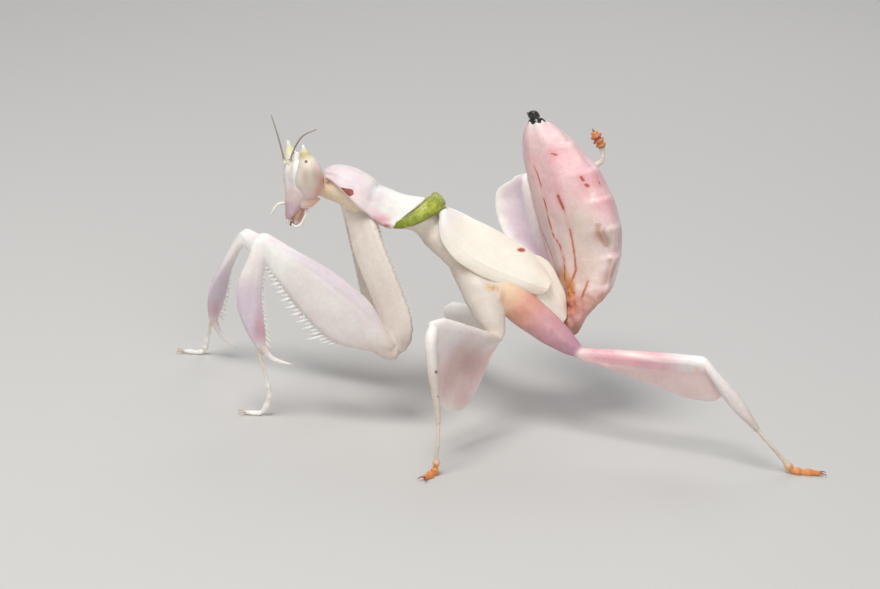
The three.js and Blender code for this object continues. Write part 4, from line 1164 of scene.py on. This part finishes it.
# The abdomen, in its own frame: lengths along z, the back towards -x.
abdomen = {
    "widths": ((-1.3, 0.9), (0, 1.65), (1.7, 3.1), (3.4, 4.15), (5.4, 5.0), (7.7, 5.45), (10.5, 5.15),
               (12.5, 4.65), (14.5, 3.7), (16.3, 2.65), (17.2, 1.65), (17.75, 0.85), (18.8, 0.45)),
    "depths": ((-1.3, 0.75), (0, 0.95), (1.7, 1.7), (3.4, 2.2), (5.4, 2.5), (7.7, 2.7), (10.5, 2.75), (12.5, 2.6),
               (14.5, 2.2), (16.3, 1.6), (17.2, 1.1), (17.75, 0.7), (18.8, 0.4)),
    "bow": ((-1.3, -0.6), (0, 0), (1.7, 1.35), (3.4, 2.1), (5.4, 2.5), (7.7, 2.6), (10.5, 2.3), (12.5, 1.9),
            (14.5, 1.4), (16.3, 0.85), (18.8, 0.1)),
    "sway": ((-1.3, -0.1), (0, -0.45), (1.7, -0.55), (3.4, -0.1), (5.4, 0.2), (7.7, 0.25), (10.5, 0.45),
             (12.5, 0.5), (14.5, 0.75), (16.3, 0.82), (17.6, 0.88), (18.8, 0.75)),
    "ends": (0.3, 2.6, 5.2, 7.8, 10.4, 13.0, 15.6, 17.6), "from": -1.3, "to": 17.7,
    "tones": ((0, "brown"), (0.06, "clay"), (0.13, "clay"), (0.22, "shell"), (0.45, "haze"), (0.65, "petal"),
              (0.8, "petal"), (0.92, "blush"), (1, "shell")),
    "stripes": (  # half width, then y and z along the line on the back
        (0.12, (4.6, 12.0), (4.1, 9.6), (3.3, 7.6), (2.5, 6.1), (2.13, 5.5)),
        (0.09, (2.23, 5.5), (1.6, 4.2), (1.2, 3.6)),
        (0.07, (0.55, 13.9), (0.3, 12.9), (0.2, 12.0)),
        (0.11, (0.4, 10.9), (0.57, 9.1), (0.66, 7.7), (-0.06, 6.4), (-0.23, 5.05), (-0.08, 4.05), (0.1, 3.4)),
        (0.17, (-1.8, 11.0), (-1.97, 9.9)), (0.05, (-1.97, 9.9), (-2.03, 8.0)),
        (0.12, (-2.03, 7.9), (-1.91, 5.6), (-1.78, 4.2), (-1.03, 3.2)),
        (0.09, (-2.95, 3.1), (-2.6, 2.3), (-2.24, 1.7)),
        (0.07, (-1.85, 14.85), (-2.2, 14.65)), (0.09, (-4.1, 12.4), (-4.2, 12.05)),
        (0.08, (-4.3, 11.65), (-4.38, 11.45)),
    ),
    # painted shade: the skin is darkened brown along these fold lines, in the creases where the plates overlap;
    # the lines are also sunk a little
    "folds": (  # where the plates of the side overlap
        (0.05, (-4.66, 7.9), (-4.6, 6.0), (-4.9, 6.4), (-5.15, 7.5)),
        (0.04, (-3.85, 2.7), (-4.3, 3.7), (-4.6, 4.6)),
    ),
    # painted highlight: pale lines along the plate edges beside the folds, where the edges catch the light; they
    # are also raised a little
    "edges": ((0.03, (-4.5, 9.9), (-4.55, 10.8)), (0.05, (-4.75, 5.75), (-5.1, 6.6), (-5.25, 7.6))),
    "dabs": (
        ((0.3, -3.2, 7.6), (3, 2.4, 4.6), "beige", 0.85), ((0.3, -2.9, 4.2), (3, 2.0, 2.6), "sand", 0.5),
        ((0.2, 3.0, 6.0), (3, 1.8, 5), "blush", 0.5), ((-0.2, 0.7, 8.2), (2, 1.3, 4.5), "shell", 0.7),
        ((0, 2.0, 12.0), (2.5, 1.1, 3.5), "shell", 0.6), ((0.5, -2.0, 14.4), (2, 1.4, 1.6), "pink", 0.5),
        ((0.4, -1.9, 12.0), (2, 0.9, 2.6), "rose", 0.8), ((0.6, 2.3, 14.7), (2, 0.8, 1.3), "pink", 0.4),
        ((2.4, -4.2, 12.4), (2.5, 1.2, 2.4), "rose", 0.8), ((3, -5.0, 9.4), (2.5, 0.9, 2.4), "pink", 0.6),
        # painted shade: the tan dab below darkens the upper fold of the side
        ((3, -5.1, 6.0), (2.5, 0.8, 2.2), "mauve", 0.6), ((1.6, -4.6, 7.0), (2, 0.8, 1.3), "tan", 0.8),
        ((-0.4, 0.1, 3.5), (2.4, 1.5, 1.5), "amber", 1.1), ((-0.4, -0.8, 2.5), (2.4, 1.2, 1.7), "orange", 1.4),
        ((-0.4, -1.1, 1.0), (2.2, 1.2, 1.1), "ember", 0.9),
        # painted shade: the brown dab below darkens the lower fold of the side
        ((1.6, -4.2, 3.3), (1.6, 0.7, 1.1), "brown", 0.45), ((0.6, -1.6, -0.3), (2.5, 1.6, 1.6), "blossom", 0.6),
    ),
    "tip": (17.6, 18.55), "cerci": 18.1,
}


def lineDistance(y, z, line):
    half, *points = line
    best = 9.0
    for (y1, z1), (y2, z2) in zip(points, points[1:]):
        dy, dz = y2 - y1, z2 - z1
        u = min(max(((y - y1) * dy + (z - z1) * dz) / (dy * dy + dz * dz), 0), 1)
        best = min(best, math.hypot(y - y1 - dy * u, z - z1 - dz * u))
    return best - half


def abdomenRelief(along, side, lift, place):
    ends = abdomen["ends"]
    z = place.z
    segment = next((k for k in range(len(ends) - 1) if z < ends[k + 1]), len(ends) - 2)
    share = min(max((z - ends[segment]) / (ends[segment + 1] - ends[segment]), 0), 1)
    step = (0.015 + 0.05 * abs(side) ** 3) * share ** 2 * eased((1 - share) * 6)
    lobes = 0.34 * abs(side) ** 12 * share ** 2 * eased((1 - share) * 5) * (1 if 1 <= segment <= 6 else 0)
    angle = math.atan2(lift, side)
    buds = 0.1 * math.sin(angle * 7 + z * 0.35) * eased((z - 9) / 5) * (1 - 0.5 * share)
    lumps = 0.22 * noise.noise(place * 1.7) * eased((4.2 - z) / 3) * (1 if lift < 0.3 else 0.4)
    hollow = -0.35 * bump(place.y, -4.2, 0.9) * bump(z, 5.0, 2.6) * (1 if lift < 0 else 0)
    keel = 0.12 * bump(place.y, 0.9, 0.5) * bump(z, 8, 5) * (1 if lift < 0 else 0)
    return step + lobes + buds + lumps + hollow + keel + 0.07 * noise.noise(place * 0.6)


def abdomenRings(start, stop, count):
    rings = []
    for t in evenly(count):
        z = start + (stop - start) * t
        bow, sway, wide, deep = [keyed(abdomen[key], z) for key in ("bow", "sway", "widths", "depths")]
        rings.append(upright(t, Vector((bow, sway, z)), wide, deep))
    return rings


def makeAbdomen():
    rings = abdomenRings(abdomen["from"], abdomen["to"], 76)
    body = emboss(loft("abdomen", domed(rings, (0.3, 0.3)), 60, abdomen["tones"]), abdomenRelief)
    airbrush(body, abdomen["dabs"])
    places = [(v.co.y, v.co.z, lift < 0.25) for v, lift in zip(body.data.vertices, measured(body, "lift"))]
    for name, key in (("stripe", "stripes"), ("folds", "folds"), ("edges", "edges")):  # only on the back
        measure(body, name, [min(lineDistance(y, z, line) for line in abdomen[key]) if back else 5.0
                             for y, z, back in places])
    return moved(body, abdomenFrame)


def abdomenMarks(sheet, colour, height):
    stripe = sheet.share("stripe")
    low = 1 - sheet.share("along").eased(0.3, 0.62)
    wobble = sheet.noise(0.5, 2) * 0.12 - 0.06
    ink = sheet.mix(low, "crimson", "ochre")
    ink = sheet.mix(low * sheet.noise(0.7, 2).eased(0.45, 0.6) * 0.5, ink, "orange")
    mask = 1 - (stripe + wobble).eased(-0.03, 0.05)
    halo = (1 - stripe.eased(0.0, 0.4)) * 0.22
    colour = sheet.mix(halo, colour, "coral")
    base = (1 - sheet.share("along").eased(0.14, 0.26)) * sheet.noise(0.55, 3).eased(0.5, 0.6) * 0.6
    base = base * sheet.share("side").eased(-0.6, -0.1)
    flush = sheet.noise(2.2, 3).eased(0.48, 0.66) * sheet.share("along").eased(0.5, 0.72)
    colour = sheet.mix(flush * 0.4, colour, "pink")
    colour = sheet.mix(base, colour, "ember")
    # painted shade: brown along the fold lines of the side, which are also sunk a little
    shadedFold = 1 - sheet.share("folds").eased(-0.03, 0.3)
    # painted highlight: white along the plate edges
    edge = 1 - sheet.share("edges").eased(-0.03, 0.14)
    colour = sheet.mix(edge * 0.35, sheet.mix(shadedFold * 0.5, colour, "brown"), "white")
    return sheet.mix(mask * 0.88, colour, ink), height + base * 1.5 + edge * 0.3 - shadedFold * 0.6


def makeAbdomenTip():
    tip = loft("abdomen_tip", domed(abdomenRings(*abdomen["tip"], 10), (0.15, 0.25)), 28, "black")
    emboss(tip, lambda along, side, lift, place: 0.1 * noise.noise(place * 1.8) - 0.1 * bump(along, 0.55, 0.08))
    bow, sway = [keyed(abdomen[key], abdomen["cerci"]) for key in ("bow", "sway")]
    cerci = [thorn((bow, sway + way * 0.3, 18), (-0.3, way * 0.7, 1), 0.9, (0, way * 0.15, 0), 0.24, "black")
             for way in (-1, 1)]
    return moved(together("abdomen_tip", [tip, *cerci]), abdomenFrame)


print("plates and abdomen ready")

# The head, in its own frame: the face towards -x. Height, middle, half depth and half width of each ring.
head = {
    "rings": ((-3.0, -1.05, 0.2, 0.5), (-2.7, -0.95, 0.35, 0.75), (-2.1, -0.7, 0.62, 1.15),
              (-1.4, -0.42, 0.98, 1.55), (-0.6, -0.2, 1.2, 2.05), (0.1, -0.12, 1.28, 2.25), (0.8, -0.2, 1.3, 2.2),
              (1.3, -0.35, 1.2, 2.0), (1.75, -0.5, 0.95, 1.6), (2.1, -0.65, 0.55, 1.2)),
    "tones": ((0, "dusk"), (0.2, "dusk"), (0.42, "haze"), (0.65, "pearl"), (1, "cream")),
    "eyes": {  # the left eye is -1
        -1: {"path": ((0.35, 1.3, -1.1), (0.2, 1.55, 0.3), (-0.02, 1.75, 1.6), (-0.4, 1.9, 2.7),
                      (-0.75, 1.95, 3.62)),
             "tones": ((0, "peach"), (0.1, "haze"), (0.28, "fawn"), (0.5, "taupe"), (0.75, "cream"),
                       (0.86, "sage"), (0.93, "lemon"), (1, "white"))},
        1: {"path": ((0.4, 1.4, -1.1), (0.15, 1.72, 0.3), (-0.2, 1.88, 1.6), (-0.72, 1.95, 2.75),
                     (-1.02, 1.95, 3.75)),
            "tones": ((0, "peach"), (0.1, "haze"), (0.28, "fawn"), (0.5, "cream"), (0.75, "cream"),
                      (0.86, "lemon"), (0.93, "lemon"), (1, "white"))},
    },
    "eyeWidths": ((0, 0.35), (0.1, 0.85), (0.25, 1.13), (0.4, 1.16), (0.55, 1.0), (0.72, 0.68), (0.86, 0.36),
                  (0.93, 0.2), (1, 0.13)),
    "feelers": {
        "left": ((-1.38, -0.3, 1.9), (-1.2, -0.5, 3.0), (-0.7, -1.35, 4.45), (0.25, -2.35, 5.2)),
        "right": ((-1.58, 0.55, 1.9), (-2.15, 1.1, 4.0), (-2.78, 1.9, 6.05)),
    },
    "palp": {1: ((-0.9, 1.1, -1.7), (-1.7, 1.35, -1.9), (-2.2, 1.6, -2.8)),
             -1: ((0.45, -1.0, -1.7), (0.3, -1.1, -2.3), (0.1, -1.05, -2.9), (-0.15, -0.95, -3.45),
                  (-0.5, -0.8, -3.65), (-0.85, -0.65, -3.45))},
    "dabs": (
        ((-1.5, 0, 1.0), (0.9, 0.7, 1.9), "pearl", 1.0), ((-0.8, -0.8, -2.2), (0.9, 0.9, 1.0), "lavender", 0.8),
        ((-0.9, -0.9, 1.9), (0.45, 1.0, 0.8), "bright", 1.4),
    ),
    "cheekDabs": (
        ((0.7, 1.6, -1.35), (1.4, 1.3, 1.1), "apricot", 1.2), ((-0.3, 1.5, -1.2), (0.9, 1.0, 0.9), "haze", 0.5),
        ((1.1, 1.5, -0.9), (0.8, 1.2, 0.6), "salmon", 0.5),
    ),
    "eyeDabs": (
        ((1.3, 2.3, 0.7), (1.2, 1.4, 1.5), "clay", 1.1), ((1.0, 2.5, -0.6), (1.1, 1.2, 1.0), "salmon", 0.9),
        ((0.7, 2.5, 2.1), (0.8, 0.9, 1.1), "haze", 0.8), ((-0.75, 2.5, 2.85), (0.4, 0.8, 0.6), "honey", 1.1),
        ((-1.2, 2.2, 1.1), (0.8, 1.4, 2.2), "oat", 1.2), ((-0.4, 2.2, -0.9), (1.3, 1.4, 1.1), "haze", 1.2),
    ),
    "cheek": ((-0.2, 1.1, -1.25), (0.5, 1.3, -1.22), (1.38, 1.25, -1.02)), "cheekWidths": spread(0.8, 0.55, 0.08),
    "crest": ((-0.82, -0.35, 1.5), (-0.76, -0.4, 2.3), (-0.72, -0.4, 2.95)),
    "crestWidths": spread(0.14, 0.3, 0.34),
    "crestHeights": ((0, 0.14), (0.4, 0.32), (1, 0.4)),
    "crestTips": (((-0.95, -0.2, 2.85), (-0.0625, 0, 1)), ((-0.5, -0.55, 2.85), (0.05, 0, 1))),
    "beads": ((-1.5, 0, 1.95), (-1.325, -0.2, 2.3), (-1.325, 0.2, 2.3)), "beadSize": 0.09,
    "feelerWidths": ((0, 0.15), (0.06, 0.13), (0.12, 0.09), (0.6, 0.07), (1, 0.04)),
    "palpWidths": ((0, 0.16), (0.3, 0.13), (0.36, 0.17), (0.62, 0.12), (0.68, 0.16), (1, 0.07)),
    "jaw": ((-0.05, 0, -1.4), (-0.3, 0, -2.4), (-0.45, 0, -3.3)),
    "jawWidths": ((0, 0.9), (0.5, 1.0), (0.8, 0.85), (1, 0.6)), "jawHeights": ((0, 0.65), (0.6, 0.6), (1, 0.3)),
    "jawTones": ((0, "peach"), (0.4, "tan"), (0.85, "tan"), (1, "blush")),
    "lip": ((-0.95, 0, -2.6), (-1.08, 0, -3.0), (-1.1, 0, -3.42)), "lipWidths": spread(0.5, 0.36, 0.14),
    "blade": ((-0.4, 0.45, -2.9), (-0.62, 0.35, -3.3), (-0.8, 0.1, -3.6)),
}


def column(rings, count):
    keys = [spread(*values) for values in zip(*rings)]
    made = []
    for t in evenly(count):
        z, x, deep, wide = [keyed(key, t) for key in keys]
        made.append(upright(t, Vector((x, 0, z)), wide, deep))
    return made


def faceRelief(along, side, lift, place):
    z = place.z
    front = max(0, -lift)
    ridge = 0.16 * bump(side, 0, 0.2) * front * bump(z, 0.8, 1.6)
    socket = -0.14 * bump(abs(side), 0.42, 0.14) * front * bump(z, 1.7, 0.5)
    brow = -0.09 * bump(z, -1.15 + 0.5 * abs(side), 0.14) * front
    corner = 0.24 * bump(abs(side), 0.75, 0.25) * front * bump(z, 1.0, 1.5)
    cheek = 0.1 * bump(abs(side), 0.9, 0.3) * bump(z, -0.6, 0.7)
    return ridge + socket + brow + corner + cheek + 0.03 * noise.noise(place * 1.5)


def makeHead():
    skull = loft("head", domed(column(head["rings"], 40), (0.15, 0.3)), 44, head["tones"])
    airbrush(emboss(skull, faceRelief), head["dabs"])
    parts = [skull]
    for way in (-1, 1):
        flap = limb(mirrored(head["cheek"], way), (0, way, 0.2), head["cheekWidths"], spread(0.6, 0.1),
                    16, domes=(0.2, 0.05))
        parts.append(loft("cheek", flap, 18, spread("haze", "apricot", "peach")))
    whole = softenJoins(weld("head", parts), angle=12, repeat=12)
    return moved(airbrush(whole, sided(head["cheekDabs"], -1, 1)), headFrame)


def makeEye(side):
    widths = head["eyeWidths"]
    path = mirrored(head["eyes"][side]["path"], side)
    rings = limb(path, (1, 0, 0), widths, widened(widths, 1.15), 44, domes=(0.2, 0.14))
    eye = loft("eye", rings, 40, head["eyes"][side]["tones"])
    return moved(airbrush(eye, sided(head["eyeDabs"], side)), headFrame)


def makeWedge():
    crest = limb(head["crest"], (1, 0, 0), head["crestWidths"], head["crestHeights"], 18,
                 domes=(0.1, 0.06))
    made = [loft("crest", crest, 24, "bright")]
    for root, lean in head["crestTips"]:
        made.append(thorn(root, lean, 0.4, width=0.2, tones=((0.8, "bright"), (1, "ivory"))))
    for place in head["beads"]:
        bpy.ops.object.select_all(action="DESELECT")
        bpy.ops.mesh.primitive_uv_sphere_add(segments=14, ring_count=8, radius=head["beadSize"], location=place)
        bead = bpy.context.object
        for key in ("along", "side", "lift"):
            measure(bead, key, [0.0] * len(bead.data.vertices))
        made.append(tint(bead, "lemon"))
    return moved(together("crest", made), headFrame)


def makeFeeler(side):
    widths = head["feelerWidths"]
    rings = limb(head["feelers"][side], (0, 1, 0.2), widths, widths, 70, domes=(0.1, 0.04))
    thread = loft("feeler", rings, 10, ((0, "cream"), (0.1, "smoke")), smooth=0)
    emboss(thread, lambda along, side, lift, place: 0.012 * math.sin(along * 220))
    return moved(thread, headFrame)


def makePalp(side):
    widths = head["palpWidths"]
    rings = limb(head["palp"][side], (0, 1, 0), widths, widths, 24, domes=(0.1, 0.08))
    return moved(loft("palp", rings, 12, spread("cream", "white")), headFrame)


def jawRelief(along, side, lift, place):
    rim = 0.1 * bump(lift, 0.75, 0.2) * eased((along - 0.4) * 4)
    return rim - 0.08 * bump(lift, 0.35, 0.2) + 0.05 * noise.noise(place * 2.5)


def makeJaws():
    rings = limb(head["jaw"], (1, 0, 0), head["jawWidths"], head["jawHeights"], 26, domes=(0.3, 0.25))
    jaw = loft("mandible", rings, 32, head["jawTones"])
    sweepTone(jaw, "haze", lambda along, side, lift: 0.7 * eased((lift - 0.5) * 4) * eased((along - 0.3) * 4))
    lip = limb(head["lip"], (1, 0, 0), head["lipWidths"], spread(0.2, 0.1), 14, domes=(0.1, 0.1))
    made = [emboss(jaw, jawRelief), loft("lip", lip, 18, spread("lilac", "white", "white"))]
    for way in (-1, 1):
        blade = limb(mirrored(head["blade"], way), (1, 0, 0), spread(0.25, 0.06), spread(0.22, 0.06), 10,
                     domes=(0.05, 0.03))
        made.append(loft("blade", blade, 12, ((0.7, "brown"), (1, "darkBrown"))))
    return moved(together("jaws", made), headFrame)


bodySkin = softenJoins(weld("body_skin", skinParts))
hipDabs = (((-0.9, -6.5, 13.3), (1.0, 1.6, 0.5), "honey", 1.2),
           ((-0.6, -6.5, 13.2), (0.6, 1.6, 0.22), "ochre", 0.9),
           ((0.15, -6.3, 12.4), (0.5, 1.6, 0.9), "tan", 0.7))
airbrush(bodySkin, hipDabs)
legNames = [f"leg_{pair}_{side}_{length}" for pair in ("fore", "mid", "hind") for side in ("left", "right")
            for length in ("coxa", "femur", "tibia")]
skinDots = (((-2.64, -11.01, 7.59), 0.16), ((-5.22, -16.6, 9.05), 0.14), ((-4.8, -16.99, 6.94), 0.14),
            ((10.5, -7.88, 7.37), 0.14))
skinLook = cuticle("body_skin", marks=lambda sheet, colour, height: (dotted(sheet, colour, skinDots), height))
done(bodySkin, "body_skin", skinLook, ["neck", "thorax_front", "thorax_rear", *legNames])
print("skin made:", len(bodySkin.data.polygons), "faces")

hard = cuticle("thorn", mottle=0.05, roughness=0.3)
pearlShell = cuticle("shield", marks=shieldMarks, roughness=0.5)
done(makeShield(), "shield", pearlShell, ["pronotum"])
greenLook = cuticle("collar", mottle=0.0, roughness=0.3, relief=0.02, marks=collarMarks, **{"Coat Weight": 0.3})
done(makeCollar(), "collar_band", greenLook, ["collar"])
padLook = cuticle("wing_pad", mottle=0.06, roughness=0.44, relief=0.014)
for side, way in (("left", -1), ("right", 1)):
    done(makeThorns(side), f"thorns_{side}", hard)
    for pair in ("fore", "hind"):
        done(makePad(pair, way), f"pad_{pair}_{side}", padLook, [f"wing_pad_{pair}_{side}"])
print("shield, collar, pads and thorns made")

footLook = cuticle("foot", mottle=0.1, roughness=0.45, relief=0.02)
for side in ("left", "right"):
    foot = makeFoot(forelegs[side]["foot"], forelegs["flat"], feet["beads"], feet["whiteTones"],
                    feet["paleClawTones"])
    done(foot, f"foot_fore_{side}", footLook, [f"leg_fore_{side}_tarsus"])
for walker in walkerNames:
    leg = walkers[walker]
    raised = walker == "hind_right"
    foot = makeFoot(leg["foot"], leg["lift"], widened(feet["stoutBeads"], feet["raisedBeads"] if raised else 1),
                    feet["duskTones" if raised else "orangeTones"], feet["clawTones"],
                    feet["raisedClaw" if raised else "claw"])
    done(foot, f"foot_{walker}", footLook, [f"leg_{walker}_tarsus"])
print("feet made")

abdomenLook = cuticle("abdomen", mottle=0.14, roughness=0.4, relief=0.02, marks=abdomenMarks)
done(makeAbdomen(), "abdomen_skin", abdomenLook, [f"abdomen_{i}" for i in range(1, 8)])
tipLook = cuticle("tip", mottle=0.0, roughness=0.16, relief=0.02,
                  **{"Coat Weight": 0.6, "Subsurface Weight": 0.0})
done(makeAbdomenTip(), "abdomen_end", tipLook, ["abdomen_tip"])
print("abdomen made")

eyeDots = (((-18.14, -2.86, 22.57), 0.14),)
eyeLook = cuticle("eye", mottle=0.03, pore=0.045, roughness=0.24, relief=0.006, **{"Coat Weight": 0.35},
                  marks=lambda sheet, colour, height: (dotted(sheet, colour, eyeDots), height))
faceLook = cuticle("face", mottle=0.08, roughness=0.4)
feelerLook = cuticle("feeler", mottle=0.0, roughness=0.6)
jawLook = cuticle("jaws", mottle=0.1, roughness=0.35)
done(makeHead(), "head_skin", faceLook, ["head"])
done(makeWedge(), "crest", faceLook, ["vertex_cone"])
done(makeJaws(), "mouth", jawLook, ["jaws"])
for side, way in (("left", -1), ("right", 1)):
    done(makeEye(way), f"eye_cone_{side}", eyeLook, [f"eye_{side}"])
    done(makeFeeler(side), f"feeler_{side}", feelerLook, [f"antenna_{side}"])
    done(makePalp(way), f"mouth_palp_{side}", faceLook, [f"palp_{side}"])
print("head made")

box = lambda b: [list(corner) for corner in b]
{"cad": box(cadBox), "visual": box(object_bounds())}
